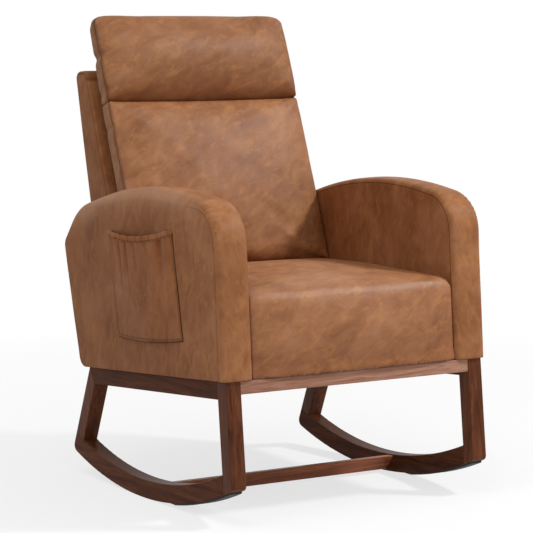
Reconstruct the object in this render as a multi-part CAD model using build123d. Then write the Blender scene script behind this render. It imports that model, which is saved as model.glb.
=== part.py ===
import math
import os

from build123d import *

# A rocking armchair, drawn in its own level frame, in millimetres: +X to the viewer's right of
# the facing chair, +Y from the front legs to the back, +Z up. Y 0 is the front face of the front
# legs at their top, Z 0 is the top of the wooden base. At the end the chair leans back to its
# rest on the floor and its origin moves to the middle of its footprint.

# Stance
REST_TILT = 4.39  # degrees that the empty chair leans back when it rests

# Wooden rocker base
MEMBER_WIDTH = 36.0  # legs, side rails and runners, measured along X
FRONT_LEG_DEPTH = 35.0
FRONT_LEG_RAKE = 1.9  # degrees, foot forward
FOOT_ROUND = 12.0
SIDE_RAIL_HEIGHT = 37.0
CROSS_RAIL_HEIGHT = 27.5
CROSS_RAIL_DEPTH = 30.0
CROSS_RAIL_RECESS = 0.7  # front rail behind the front face of the legs
REAR_LEG_DEPTH = 36.0  # square to the leg
REAR_LEG_RAKE = 27.5  # degrees, foot back
REAR_LEG_Y = 577.0  # inner corner of rear leg and side rail
ROCK_RADIUS = 959.0  # floor arc of the runners
ROCK_CENTRE_Y = 308.0
ROCK_CENTRE_Z = 685.0
RUNNER_HEIGHT = 40.0
RUNNER_TAIL_ROUND = 15.0
WOOD_EASE = 1.6  # eased long edges of the wooden members
STRETCHER_Y = 295.0  # top front edge of the stretcher
STRETCHER_HEIGHT = 33.0
STRETCHER_LEAN = 42.0  # degrees, foot back
STRETCHER_THICKNESS = 22.0  # measured level
STRETCHER_DROP = 2.5  # below the top of the runners
PAD_THICKNESS = 4.0
PAD_WIDTH = 28.0
PAD_START_Y = 6.0
PAD_END_Y = 262.0
PAD_TAPER = 26.0
DOWEL_RADIUS = 4.0
DOWEL_LENGTH = 44.0
DOWEL_CLEARANCE = 0.15

# Covers, clearances and fasteners
COVER = 1.3  # leather thickness
FIT = 0.3  # between neighbouring solids
BOLT_RADIUS = 3.0
BOLT_HEAD_RADIUS = 7.0
BOLT_HEAD_HEIGHT = 3.5
BOLT_REACH = 12.0  # thread inside its insert
INSERT_RADIUS = 4.6
INSERT_LENGTH = 14.0
INSERT_CLEARANCE = 0.1
THREAD_CLEARANCE = 0.15
HOLE_CLEARANCE = 0.4

# Seat unit
SEAT_WIDTH = 512.0
SEAT_FRONT_Y = -5.0
SEAT_REAR_Y = 544.0
SEAT_FOAM_REAR_Y = 472.0  # foam stops under the back cushion
SEAT_FRONT_TOP = 190.0
SEAT_REAR_TOP = 222.0
SEAT_CROWN = 14.0
SEAT_FRONT_BULGE = 10.0
SEAT_ROLL = 34.0  # radius of the front edge
SEAT_DRAW = 11.0  # how far the edges pull in beside the arms
BOARD_THICKNESS = 20.0
FRONT_BOARD_THICKNESS = 60.0
BOX_HEIGHT = 95.0  # top of the seat boards
DUST_COVER = 1.0
CORNER_BLOCK = 62.0
CORNER_BLOCK_HEIGHT = 27.0
SPRING_COUNT = 5
SPRING_PITCH = 92.0  # between neighbouring springs
SPRING_WIRE = 1.9  # wire radius
SPRING_SWING = 22.0  # half width of a zigzag
SPRING_BARS = 15
SPRING_BEND = 9.0
SPRING_LEAD = 22.0  # straight wire at each end
SPRING_LEVEL = 4.0  # wire centre above the boards
CLIP_WIDTH = 18.0
CLIP_HEIGHT = 8.0
SPRING_PAD_THICKNESS = 5.0
SEAT_BOLT_X = 180.0
SEAT_BOLT_RECESS = 5.0  # heads sunk into the undersides of the cross rails
SEAT_STATIONS = (0.0, 0.6, 0.9, 0.97, 1.0)  # of the half width

# Arm units
ARM_GAP = 0.5  # seat cover to arm cover
ARM_WIDTH = 78.5
ARM_OVERHANG = 11.0  # past the outsides of the wooden side frames
ARM_FRONT_Y = -2.0
ARM_BACK_Y = 628.0  # rear edge at the arm's foot
ARM_BACK_RAKE = 11.0
ARM_TOP_Z = 399.0
ARM_TOP_Y = 322.0  # crest of the top arc
ARM_TOP_RADIUS = 1020.0
ARM_FRONT_RADIUS = 92.0
ARM_FALL_RUN = 53.0  # end of the top arc, in front of the back's foot
ARM_REAR_RADIUS = 140.0  # bend from the top arc to the slope behind it
ARM_SLOPE_LEAN = 44.0  # of that slope, down to the shoulder
ARM_SHOULDER_RADIUS = 20.0
ARM_HEEL_RADIUS = 28.0
ARM_DRAW = 9.0  # band edge in from its crown, at the panel seams
ARM_FOOT_SHARE = 0.2  # of that draw along the bottom edge
ARM_CROWN = 3.0
ARM_STATIONS = (0.0, 0.75, 0.93, 1.0)  # of the half width
ARM_BOARD_THICKNESS = 18.0
ARM_BOARD_INSET = 26.0  # foam over the board's edge
ARM_BOARD_DEPTH = 11.0  # foam between the inner panel and the board
ARM_OPENING_Y = (310.0, 585.0)  # lightened rear half of the board
ARM_OPENING_Z = (75.0, 330.0)
ARM_BOARD_RIM = 16.0  # least wood around the opening
ARM_HOLLOW_MARGIN = 10.0  # hollow beyond the opening
ARM_PANEL_PAD = 14.0  # foam between the hollow and the outer panel
ARM_BOLT_ROWS = ((100.0, 45.0), (285.0, 45.0), (470.0, 45.0))  # Y, Z of each bolt

# Side pockets
POCKET_FRONT_Y = 142.0  # at its foot
POCKET_WIDTH = 284.0
POCKET_FOOT_Z = 78.0
POCKET_HEIGHT = 234.0
POCKET_LEAN = 6.8  # degrees, its sides lean back
POCKET_LEATHER = 1.6
POCKET_STATIONS = ((0.0, 3.0), (0.5, 8.0), (1.0, 9.5))  # share of the height, bulge
POCKET_SEAM = 9.0  # sewn margin
POCKET_SAG = 15.0  # dip of the mouth
HEM_HEIGHT = 13.0
HEM_THICKNESS = 2.6

# Back shell and its frame
SHELL_WIDTH = SEAT_WIDTH  # fills the space between the arms
SHELL_FRONT_Y = 548.0
SHELL_TOP_Z = 672.0
SHELL_TOP_REAR_Y = 742.0
SHELL_FOOT_REAR_Y = 636.0
SHELL_FOOT_Z = 4.0
SHELL_TOP_ROUND = 17.0
SHELL_EDGE_ROUND = 6.0
SHELL_PAD = 4.0  # foam over the frame
POST_WIDTH = 16.0
POST_RIM = 26.0  # wood around the opening of a post
POST_OPENING_Z = (95.0, 480.0)
BACK_RAIL_DEPTH = 22.0
BACK_RAIL_HEIGHT = 45.0
BOTTOM_RAIL_HEIGHT = 80.0
LUMBAR_RAIL_Z = 330.0
WEBBING_COUNT = 4
WEBBING_HEIGHT = 46.0
WEBBING_THICKNESS = 2.5
WEBBING_SET_BACK = 4.0
BACK_BOLT_ROWS = ((150.0, 36.0), (150.0, 72.0))  # X, Z of each bolt

# Back cushion and headrest, along the reclined front
RECLINE = 16.5
CUSHION_SIDE_GAP = 2.5  # each side, in from the width of the seat
CUSHION_WIDTH = SEAT_WIDTH - 2 * CUSHION_SIDE_GAP
CUSHION_FOOT_Y = 466.8
CUSHION_FOOT_Z = 226.0
CUSHION_DEPTH = 56.0
CUSHION_STAND = 85.0  # front plane of the cushion to the front of the shell
CUSHION_BAND = 50.0  # side band at the front edge
CUSHION_CROWN = 22.0
CUSHION_SEAM = 390.0  # from its foot to the channel under the headrest
CUSHION_ROLL = 16.0
CUSHION_EDGE = 4.0  # front edge rolled back at the side bands
CUSHION_LIFT = 4.0  # foot clear of the seat
HEADREST_HEIGHT = 208.0
HEADREST_CROWN = 25.0
HEADREST_BAND = 40.0
HEADREST_TOP_DEPTH = 50.0
HEADREST_TOP_ROLL = 20.0
HEADREST_CORNER = 26.0
SEAM_ROLL = 15.0
FOAM_HOLLOW = 18.0  # foam left in front of the hollow in each rear side
HOLLOW_MARGIN = 45.0
CUSHION_STATIONS = (0.0, 0.5, 0.85, 0.96, 1.0)  # of the half width
SPACER_WIDTH = 440.0  # frame in the recess between cushion and shell
SPACER_FOOT = 24.0
SPACER_TOP = 425.0
SPACER_BOARD = 14.0
SPACER_GAP = 1.5  # behind the flat of the cushion, which swells a little near its foot

# What several units share
box_front = SEAT_FRONT_Y + SEAT_DRAW + COVER + FIT
box_rear = SEAT_REAR_Y - COVER - FIT
box_inside = (box_front + FRONT_BOARD_THICKNESS, box_rear - BOARD_THICKNESS)
board_outer = SEAT_WIDTH / 2 - COVER - FIT
spring_level = BOX_HEIGHT + SPRING_LEVEL
foam_foot = spring_level + SPRING_WIRE + SPRING_PAD_THICKNESS + FIT


def direction(angle):
    """Unit vector in the YZ plane, leaning to +Y by an angle from +Z."""
    return Vector(math.sin(math.radians(angle)), math.cos(math.radians(angle)))


def round_arc(centre, start, end):
    """Arc of less than a half circle about a centre, in the plane of the outline."""
    middle = (start - centre) + (end - centre)
    return ThreePointArc(start, centre + middle.normalized() * (start - centre).length, end)


def slab(face, low, high):
    """A YZ outline carried along X."""
    return extrude(Plane.YZ.offset(low) * face, amount=high - low, dir=(1, 0, 0))


def loft_across(stations):
    """A loft through YZ outlines at their X places."""
    return loft([Plane.YZ.offset(x) * face for x, face in stations])


def mirrored(part):
    return mirror(part, about=Plane.YZ)


def block(x, y, z):
    """A box between its low and high X, Y and Z."""
    size = [pair[1] - pair[0] for pair in (x, y, z)]
    return Pos(x[0], y[0], z[0]) * Box(*size, align=(Align.MIN, Align.MIN, Align.MIN))


def rod(start, heading, radius, length):
    """A cylinder from a point along a heading."""
    return Plane(start, z_dir=heading) * Cylinder(
        radius, length, align=(Align.CENTER, Align.CENTER, Align.MIN))


# Wooden rocker base

half_base = SEAT_WIDTH / 2 + ARM_GAP + ARM_WIDTH - ARM_OVERHANG
inner_base = half_base - MEMBER_WIDTH
rock_centre = Pos(ROCK_CENTRE_Y, ROCK_CENTRE_Z)
runner_top_radius = ROCK_RADIUS - RUNNER_HEIGHT
front_lean = math.tan(math.radians(FRONT_LEG_RAKE))
rear_lean = math.tan(math.radians(REAR_LEG_RAKE))
rear_leg_level = REAR_LEG_DEPTH / math.cos(math.radians(REAR_LEG_RAKE))
base_reach = ROCK_RADIUS - ROCK_CENTRE_Z + RUNNER_HEIGHT


def arc_height(radius, y):
    """Z of the lower side of an arc about the rocking centre."""
    return ROCK_CENTRE_Z - math.sqrt(radius ** 2 - (y - ROCK_CENTRE_Y) ** 2)


def front_leg_y(z):
    return z * front_lean


def rear_leg_y(z):
    return REAR_LEG_Y - (SIDE_RAIL_HEIGHT + z) * rear_lean


rear_leg_top = rear_leg_y(0) + rear_leg_level


def front_leg_face():
    foot = -base_reach
    leg = Polygon((0, 0), (front_leg_y(foot), foot), (front_leg_y(foot) + FRONT_LEG_DEPTH, foot),
                  (FRONT_LEG_DEPTH, 0), align=None)
    leg = leg & rock_centre * Circle(ROCK_RADIUS)
    toe = leg.vertices().sort_by(Axis.Y)[:2].sort_by(Axis.X)[0]
    return fillet(toe, FOOT_ROUND)


def rear_leg_face():
    foot = -base_reach
    leg = Polygon((REAR_LEG_Y, -SIDE_RAIL_HEIGHT), (rear_leg_y(foot), foot),
                  (rear_leg_y(foot) + rear_leg_level, foot), (rear_leg_top, 0), align=None)
    return leg & rock_centre * Circle(runner_top_radius)


def side_rail_face():
    return Polygon((FRONT_LEG_DEPTH, 0), (rear_leg_top, 0), (REAR_LEG_Y, -SIDE_RAIL_HEIGHT),
                   (FRONT_LEG_DEPTH - SIDE_RAIL_HEIGHT * front_lean, -SIDE_RAIL_HEIGHT), align=None)


def runner_face():
    foot = -base_reach
    ring = rock_centre * (Circle(ROCK_RADIUS) - Circle(runner_top_radius))
    span = Polygon((front_leg_y(foot) + FRONT_LEG_DEPTH, foot), (FRONT_LEG_DEPTH, 0),
                   (rear_leg_top, 0), (rear_leg_y(foot) + rear_leg_level, foot), align=None)
    runner = ring & span
    tail = runner.vertices().sort_by_distance((rear_leg_y(foot) + rear_leg_level, foot))[0]
    return fillet(tail, RUNNER_TAIL_ROUND)


def runner_pad_face():
    """A strip on the floor arc whose rear end tapers out."""
    low = ROCK_RADIUS + PAD_THICKNESS
    knee = PAD_END_Y - PAD_TAPER
    corners = [(PAD_START_Y, ROCK_RADIUS), (PAD_START_Y, low), (knee, low), (PAD_END_Y, ROCK_RADIUS)]
    start, toe, heel, end = [Vector(y, arc_height(radius, y)) for y, radius in corners]
    centre = Vector(ROCK_CENTRE_Y, ROCK_CENTRE_Z)
    return make_face([
        Line(start, toe), round_arc(centre, toe, heel), Line(heel, end), round_arc(centre, end, start)])


def stretcher_face():
    top = arc_height(runner_top_radius, STRETCHER_Y) - STRETCHER_DROP
    back = STRETCHER_HEIGHT * math.tan(math.radians(STRETCHER_LEAN))
    return Polygon((STRETCHER_Y, top), (STRETCHER_Y + back, top - STRETCHER_HEIGHT),
                   (STRETCHER_Y + back + STRETCHER_THICKNESS, top - STRETCHER_HEIGHT),
                   (STRETCHER_Y + STRETCHER_THICKNESS, top), align=None)


def cross_rail(y):
    return block((-inner_base, inner_base), (y, y + CROSS_RAIL_DEPTH), (-CROSS_RAIL_HEIGHT, 0))


front_rail_y = CROSS_RAIL_RECESS
rear_rail_y = box_rear - BOARD_THICKNESS / 2 - CROSS_RAIL_DEPTH / 2
member_mid = half_base - MEMBER_WIDTH / 2
rail_mid = -CROSS_RAIL_HEIGHT / 2
side_rail_mid = -SIDE_RAIL_HEIGHT / 2
stretcher_mid = stretcher_face().center()
toe_height = arc_height(ROCK_RADIUS - RUNNER_HEIGHT / 2, FRONT_LEG_DEPTH)
heel = rear_leg_face().edges().sort_by(Axis.Y)[0] @ 0.5


def dowel_axes():
    """Middle and heading of every dowel on the +X side."""
    across, along = Vector(1, 0, 0), Vector(0, 1, 0)
    leg_line = direction(-REAR_LEG_RAKE)
    return [
        (Vector(inner_base, front_rail_y + CROSS_RAIL_DEPTH / 2, rail_mid), across),
        (Vector(inner_base, rear_rail_y + CROSS_RAIL_DEPTH / 2, rail_mid), across),
        (Vector(inner_base, stretcher_mid.X, stretcher_mid.Y), across),
        (Vector(member_mid, FRONT_LEG_DEPTH + side_rail_mid * front_lean, side_rail_mid), along),
        (Vector(member_mid, (REAR_LEG_Y + rear_leg_top) / 2, side_rail_mid), along),
        (Vector(member_mid, FRONT_LEG_DEPTH + toe_height * front_lean, toe_height), along),
        (Vector(member_mid, heel.X, heel.Y), Vector(0, leg_line.X, leg_line.Y)),
    ]


def dowel_rods(radius, length):
    rods = [rod(middle - heading * (length / 2), heading, radius, length)
            for middle, heading in dowel_axes()]
    return rods + [mirrored(one) for one in rods]


def build_base():
    holes = dowel_rods(DOWEL_RADIUS + DOWEL_CLEARANCE, DOWEL_LENGTH + 2 * DOWEL_CLEARANCE)
    side = {
        "front_leg": front_leg_face(),
        "rear_leg": rear_leg_face(),
        "side_rail": side_rail_face(),
        "runner": runner_face(),
    }
    pieces = {}
    for name, face in side.items():
        member = slab(face, inner_base, half_base)
        member = fillet(member.edges().filter_by(Axis.X, reverse=True), WOOD_EASE) - holes
        pieces[name + "_right"] = member
        pieces[name + "_left"] = mirrored(member)
    cross = {
        "front_rail": cross_rail(front_rail_y),
        "rear_rail": cross_rail(rear_rail_y),
        "floor_stretcher": slab(stretcher_face(), -inner_base, inner_base),
    }
    for name, member in cross.items():
        pieces[name] = fillet(member.edges().filter_by(Axis.X), WOOD_EASE) - holes
    pad = slab(runner_pad_face(), member_mid - PAD_WIDTH / 2, member_mid + PAD_WIDTH / 2)
    pieces["runner_pad_right"] = pad
    pieces["runner_pad_left"] = mirrored(pad)
    pieces["frame_dowels"] = Compound(children=dowel_rods(DOWEL_RADIUS, DOWEL_LENGTH))
    return pieces


# Bolts in threaded inserts


def bolt(start, heading, grip):
    """A flanged bolt whose head rests on start and whose thread ends in an insert."""
    head = rod(start - heading * BOLT_HEAD_HEIGHT, heading, BOLT_HEAD_RADIUS, BOLT_HEAD_HEIGHT)
    return head + rod(start, heading, BOLT_RADIUS, grip + BOLT_REACH)


def insert(start, heading, grip):
    sleeve = rod(start + heading * grip, heading, INSERT_RADIUS, INSERT_LENGTH)
    return sleeve - rod(start + heading * grip, heading, BOLT_RADIUS + THREAD_CLEARANCE, INSERT_LENGTH)


def bolt_holes(fasteners):
    """Clearance for the shanks and for the inserts."""
    shanks = [rod(start, heading, BOLT_RADIUS + HOLE_CLEARANCE, grip) for start, heading, grip in fasteners]
    seats = [rod(start + heading * grip, heading, INSERT_RADIUS + INSERT_CLEARANCE, INSERT_LENGTH + FIT)
             for start, heading, grip in fasteners]
    return shanks + seats


def fastener_group(shape, fasteners):
    return Compound(children=[shape(*one) for one in fasteners])


arm_inner = SEAT_WIDTH / 2 + ARM_GAP
arm_outer = arm_inner + ARM_WIDTH
arm_board_inner = arm_inner + COVER + ARM_BOARD_DEPTH
back_rail_front = SHELL_FRONT_Y + COVER + SHELL_PAD + FIT
board_face = board_outer - BOARD_THICKNESS

seat_bolt_seat = SEAT_BOLT_RECESS - CROSS_RAIL_HEIGHT
seat_fasteners = [
    (Vector(side * SEAT_BOLT_X, y + CROSS_RAIL_DEPTH / 2, seat_bolt_seat), Vector(0, 0, 1),
     DUST_COVER - seat_bolt_seat)
    for side in (-1, 1) for y in (front_rail_y, rear_rail_y)]
arm_fasteners = [
    (Vector(side * board_face, y, z), Vector(side, 0, 0), arm_board_inner - board_face)
    for side in (-1, 1) for y, z in ARM_BOLT_ROWS]
back_fasteners = [
    (Vector(side * x, box_inside[1], z), Vector(0, 1, 0), back_rail_front - box_inside[1])
    for side in (-1, 1) for x, z in BACK_BOLT_ROWS]


# Seat unit


def seat_face(spread, inset, foot):
    """Side outline of the seat; spread runs from 0 in the middle to 1 beside the arms."""
    draw = SEAT_DRAW * spread ** 6 + inset
    swell = 1 - 0.9 * spread ** 4
    front, rear = SEAT_FRONT_Y + draw, SEAT_REAR_Y - inset
    front_top, rear_top = SEAT_FRONT_TOP - draw, SEAT_REAR_TOP - draw
    toe, brow = Vector(front, foot), Vector(front, front_top - SEAT_ROLL)
    lip = Vector(front + SEAT_ROLL, front_top)
    heel_top, heel_foot = Vector(rear, rear_top), Vector(rear, foot)
    return make_face([
        ThreePointArc(toe, (toe + brow) / 2 - Vector(SEAT_FRONT_BULGE * swell, 0), brow),
        round_arc(Vector(front + SEAT_ROLL, front_top - SEAT_ROLL), brow, lip),
        ThreePointArc(lip, (lip + heel_top) / 2 + Vector(0, SEAT_CROWN * swell), heel_top),
        Line(heel_top, heel_foot),
        Line(heel_foot, toe),
    ])


def seat_form(inset, foot):
    half = SEAT_WIDTH / 2 - inset
    shares = [-share for share in reversed(SEAT_STATIONS[1:])] + list(SEAT_STATIONS)
    return loft_across([(share * half, seat_face(abs(share), inset, foot)) for share in shares])


def zigzag_spring(x):
    """A flat zigzag wire from the front board to the rear board."""
    start, end = box_inside[0] - BOARD_THICKNESS / 2, box_inside[1] + BOARD_THICKNESS / 2
    step = (end - start - 2 * SPRING_LEAD) / (SPRING_BARS - 1)
    swings = [SPRING_SWING * (-1) ** bar for bar in range(SPRING_BARS - 1)]
    points = [(x, start, spring_level)]
    for bar, (begin, finish) in enumerate(zip([0] + swings, swings + [0])):
        y = start + SPRING_LEAD + bar * step
        points += [(x + begin, y, spring_level), (x + finish, y, spring_level)]
    points.append((x, end, spring_level))
    path = FilletPolyline(*points, radius=SPRING_BEND)
    return sweep(Plane(path @ 0, z_dir=path % 0) * Circle(SPRING_WIRE), path=path)


def spring_clip(x, y):
    clip = block((x - CLIP_WIDTH / 2, x + CLIP_WIDTH / 2), (y, y + BOARD_THICKNESS),
                 (BOX_HEIGHT, BOX_HEIGHT + CLIP_HEIGHT))
    return clip - rod(Vector(x, y, spring_level), Vector(0, 1, 0), SPRING_WIRE + FIT, BOARD_THICKNESS)


def corner_block(x, y, side, way):
    """A triangular block in a corner of the seat box; side and way point into the box."""
    corner = Polygon((x, y), (x + side * CORNER_BLOCK, y), (x, y + way * CORNER_BLOCK), align=None)
    return extrude(Pos(0, 0, DUST_COVER) * corner, amount=CORNER_BLOCK_HEIGHT, dir=(0, 0, 1))


def build_seat():
    holes = bolt_holes(seat_fasteners + arm_fasteners + back_fasteners)
    height = (DUST_COVER, BOX_HEIGHT)
    clip_rows = (box_inside[0] - BOARD_THICKNESS, box_inside[1])
    spring_xs = [(index - (SPRING_COUNT - 1) / 2) * SPRING_PITCH for index in range(SPRING_COUNT)]
    side_board = block((board_face, board_outer), box_inside, height) - holes
    across = (-SEAT_WIDTH, SEAT_WIDTH)
    below_foam = block(across, (box_front - FIT, SEAT_REAR_Y + SEAT_WIDTH), (-BOX_HEIGHT, foam_foot))
    behind_foam = block(across, (SEAT_FOAM_REAR_Y, SEAT_REAR_Y + SEAT_WIDTH), (0, 2 * SEAT_REAR_TOP))
    filling = seat_form(COVER, DUST_COVER)
    pad_height = (spring_level + SPRING_WIRE, spring_level + SPRING_WIRE + SPRING_PAD_THICKNESS)
    return {
        "seat_front_board": block((-board_outer, board_outer), (box_front, box_inside[0]), height) - holes,
        "seat_rear_board": block((-board_outer, board_outer), (box_inside[1], box_rear), height) - holes,
        "seat_side_board_right": side_board,
        "seat_side_board_left": mirrored(side_board),
        "corner_blocks": Compound(children=[
            corner_block(-side * board_face, y, side, way)
            for side in (-1, 1) for y, way in zip(box_inside, (1, -1))]),
        "seat_springs": Compound(children=[zigzag_spring(x) for x in spring_xs]),
        "spring_clips": Compound(children=[spring_clip(x, y) for x in spring_xs for y in clip_rows]),
        "spring_pad": block((-board_face, board_face), box_inside, pad_height),
        "seat_foam": filling - below_foam - behind_foam,
        "seat_cover": seat_form(0, DUST_COVER) - filling - holes,
        "dust_cover": block((-board_outer, board_outer), (box_front, box_rear), (0, DUST_COVER)) - holes,
        "seat_bolts": fastener_group(bolt, seat_fasteners),
        "seat_inserts": fastener_group(insert, seat_fasteners),
    }


# Arm units


def arm_face(draw, foot):
    """Side outline of an arm, pulled in by draw, as lines and tangent arcs with a rounded rear shoulder."""
    rake, outward = direction(ARM_BACK_RAKE), direction(ARM_BACK_RAKE + 90)
    back_foot = Vector(ARM_BACK_Y, 0)
    top = Vector(ARM_TOP_Y, ARM_TOP_Z - ARM_TOP_RADIUS)
    reach = ARM_TOP_RADIUS - ARM_FRONT_RADIUS
    front_y = ARM_FRONT_Y + ARM_FRONT_RADIUS
    front = Vector(front_y, top.Y + math.sqrt(reach ** 2 - (front_y - top.X) ** 2))
    sine = (ARM_BACK_Y - ARM_FALL_RUN - ARM_TOP_Y) / ARM_TOP_RADIUS
    fall_ray = Vector(sine, math.sqrt(1 - sine ** 2))
    rear = top + fall_ray * (ARM_TOP_RADIUS - ARM_REAR_RADIUS)
    slope, upward = direction(-ARM_SLOPE_LEAN), direction(90 - ARM_SLOPE_LEAN)
    eave = rear + upward * ARM_REAR_RADIUS
    corner = eave + slope * ((back_foot - eave).dot(outward) / slope.dot(outward))
    shoulder = corner - (outward + upward) * ((ARM_SHOULDER_RADIUS + draw) / (1 + outward.dot(upward)))
    heel_line = back_foot - outward * (ARM_HEEL_RADIUS + draw)
    heel_centre = heel_line + rake * ((foot + ARM_HEEL_RADIUS - heel_line.Y) / rake.Y)
    toe, brow = Vector(ARM_FRONT_Y + draw, foot), Vector(ARM_FRONT_Y + draw, front.Y)
    crest = top + (front - top).normalized() * (ARM_TOP_RADIUS - draw)
    fall, cheek = top + fall_ray * (ARM_TOP_RADIUS - draw), rear + upward * (ARM_REAR_RADIUS - draw)
    jowl, nape = shoulder + upward * ARM_SHOULDER_RADIUS, shoulder + outward * ARM_SHOULDER_RADIUS
    hip = heel_centre + outward * ARM_HEEL_RADIUS
    sole = heel_centre - Vector(0, ARM_HEEL_RADIUS)
    return make_face([
        Line(toe, brow), round_arc(front, brow, crest), round_arc(top, crest, fall),
        round_arc(rear, fall, cheek), Line(cheek, jowl), round_arc(shoulder, jowl, nape), Line(nape, hip),
        round_arc(heel_centre, hip, sole), Line(sole, toe)])


def arm_form(inset):
    """The right arm: a band with a slight crown that pulls in to the panel seams."""
    half = ARM_WIDTH / 2 - inset
    stations = []
    for share in [-share for share in reversed(ARM_STATIONS[1:])] + list(ARM_STATIONS):
        draw = ARM_DRAW * share ** 10 - ARM_CROWN * (1 - share ** 2) + inset
        foot = ARM_FOOT_SHARE * ARM_DRAW * share ** 10 + inset + FIT
        stations.append((arm_inner + ARM_WIDTH / 2 + share * half, arm_face(draw, foot)))
    return loft_across(stations)


def arm_board(clearance):
    """The plywood panel inside the right arm, or the cavity for it."""
    face = arm_face(ARM_BOARD_INSET - clearance, COVER + 2 * FIT - clearance)
    return slab(face, arm_board_inner - clearance, arm_board_inner + ARM_BOARD_THICKNESS + clearance)


def arm_opening(margin):
    """Outline of the opening in the arm's board, widened by a margin, inside the board's rim."""
    y, z = [(low - margin, high + margin) for low, high in (ARM_OPENING_Y, ARM_OPENING_Z)]
    corners = [(y[0], z[0]), (y[1], z[0]), (y[1], z[1]), (y[0], z[1])]
    return Polygon(*corners, align=None) & arm_face(ARM_BOARD_INSET + ARM_BOARD_RIM - margin, COVER)


def build_arms():
    holes = bolt_holes(arm_fasteners)
    window = block((arm_inner + ARM_DRAW, arm_outer - ARM_DRAW),
                   (ARM_FRONT_Y + 2 * ARM_DRAW, ARM_BACK_Y - ARM_HEEL_RADIUS - ARM_DRAW),
                   (-COVER, 2 * COVER))
    filling = arm_form(COVER)
    cover = arm_form(0) - filling - window - holes
    opening = slab(arm_opening(0), arm_inner, arm_outer)
    hollow = slab(arm_opening(ARM_HOLLOW_MARGIN), arm_board_inner, arm_outer - COVER - ARM_PANEL_PAD)
    foam = filling - arm_board(FIT) - hollow - holes
    board = arm_board(0) - opening - holes
    pieces = {
        "arm_bolts": fastener_group(bolt, arm_fasteners),
        "arm_inserts": fastener_group(insert, arm_fasteners),
    }
    for name, piece in (("arm_cover", cover), ("arm_foam", foam), ("arm_board", board)):
        pieces[name + "_right"] = piece
        pieces[name + "_left"] = mirrored(piece)
    return pieces


# Side pockets, drawn on the plane of the outer panel

pocket_shear = math.tan(math.radians(POCKET_LEAN))


def pocket_section(height, edges):
    return Pos(0, height * pocket_shear, height) * make_face(edges)


def pocket_lens(leather):
    """Outer form of a pocket: flat at its back, bulging towards the mouth."""
    sections = []
    for share, bulge in POCKET_STATIONS:
        middle = Vector(leather + bulge, POCKET_WIDTH / 2)
        sections.append(pocket_section(share * POCKET_HEIGHT, [
            Line((0, 0), (leather, 0)), ThreePointArc((leather, 0), middle, (leather, POCKET_WIDTH)),
            Line((leather, POCKET_WIDTH), (0, POCKET_WIDTH)), Line((0, POCKET_WIDTH), (0, 0))]))
    return loft(sections)


def pocket_cavity():
    """The space between the pocket and the arm, open at the mouth."""
    low, high = POCKET_SEAM, POCKET_WIDTH - POCKET_SEAM
    sections = []
    for share, bulge in POCKET_STATIONS:
        sections.append(pocket_section(POCKET_SEAM + share * POCKET_HEIGHT, [
            ThreePointArc((0, low), (bulge, POCKET_WIDTH / 2), (0, high)),
            Line((0, high), (-POCKET_SEAM, high)),
            Line((-POCKET_SEAM, high), (-POCKET_SEAM, low)),
            Line((-POCKET_SEAM, low), (0, low))]))
    return loft(sections)


def above_mouth(drop):
    """Everything above the sagging mouth, lowered by drop."""
    rim = POCKET_HEIGHT - drop
    start, end = Vector(rim * pocket_shear, rim), Vector(rim * pocket_shear + POCKET_WIDTH, rim)
    margin, climb = Vector(POCKET_WIDTH, 0), Vector(0, POCKET_HEIGHT)
    edge = ThreePointArc(start, (start + end) / 2 - Vector(0, POCKET_SAG), end)
    lid = [end, end + margin, end + margin + climb, start - margin + climb, start - margin, start]
    outline = [edge] + [Line(*pair) for pair in zip(lid, lid[1:])]
    return slab(make_face(outline), -POCKET_WIDTH, POCKET_WIDTH)


def build_pockets():
    place = Pos(arm_outer, POCKET_FRONT_Y, POCKET_FOOT_Z)
    cavity = pocket_cavity()
    pouch = place * (pocket_lens(POCKET_LEATHER) - cavity - above_mouth(HEM_HEIGHT))
    hem = place * ((pocket_lens(HEM_THICKNESS) - cavity - above_mouth(0)) & above_mouth(HEM_HEIGHT))
    return {
        "side_pocket_right": pouch,
        "side_pocket_left": mirrored(pouch),
        "pocket_hem_right": hem,
        "pocket_hem_left": mirrored(hem),
    }


# Back shell

recline = direction(RECLINE)
backward = direction(RECLINE + 90)
shell_plane = Vector(CUSHION_FOOT_Y, CUSHION_FOOT_Z) + backward * (CUSHION_STAND + FIT)


def on_shell_front(y=None, z=None):
    """The point of the reclined front of the shell at a given Y or Z."""
    along = (y - shell_plane.X) / recline.X if z is None else (z - shell_plane.Y) / recline.Y
    return shell_plane + recline * along


def shell_face(inset):
    outline = Polygon(
        (SHELL_FRONT_Y, SHELL_FOOT_Z), on_shell_front(y=SHELL_FRONT_Y), on_shell_front(z=SHELL_TOP_Z),
        (SHELL_TOP_REAR_Y, SHELL_TOP_Z), (SHELL_FOOT_REAR_Y, SHELL_FOOT_Z), align=None)
    outline = offset(outline, amount=-inset, kind=Kind.INTERSECTION) if inset else outline
    corners = outline.vertices().sort_by(Axis.Y)[-2:]
    return fillet(corners, SHELL_TOP_ROUND - min(inset, SHELL_TOP_ROUND / 2))


def shell_form(inset):
    half = SHELL_WIDTH / 2 - inset
    form = slab(shell_face(inset), -half, half)
    return fillet(form.edges().filter_by(Axis.X, reverse=True), SHELL_EDGE_ROUND - inset)


def shell_rear(z):
    share = (z - SHELL_FOOT_Z) / (SHELL_TOP_Z - SHELL_FOOT_Z)
    return SHELL_FOOT_REAR_Y + (SHELL_TOP_REAR_Y - SHELL_FOOT_REAR_Y) * share


def frame_front(z):
    """Y of the front of the back frame at a height."""
    inset = COVER + SHELL_PAD + FIT
    return max(SHELL_FRONT_Y + inset, on_shell_front(z=z).X + inset / recline.Y)


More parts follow.
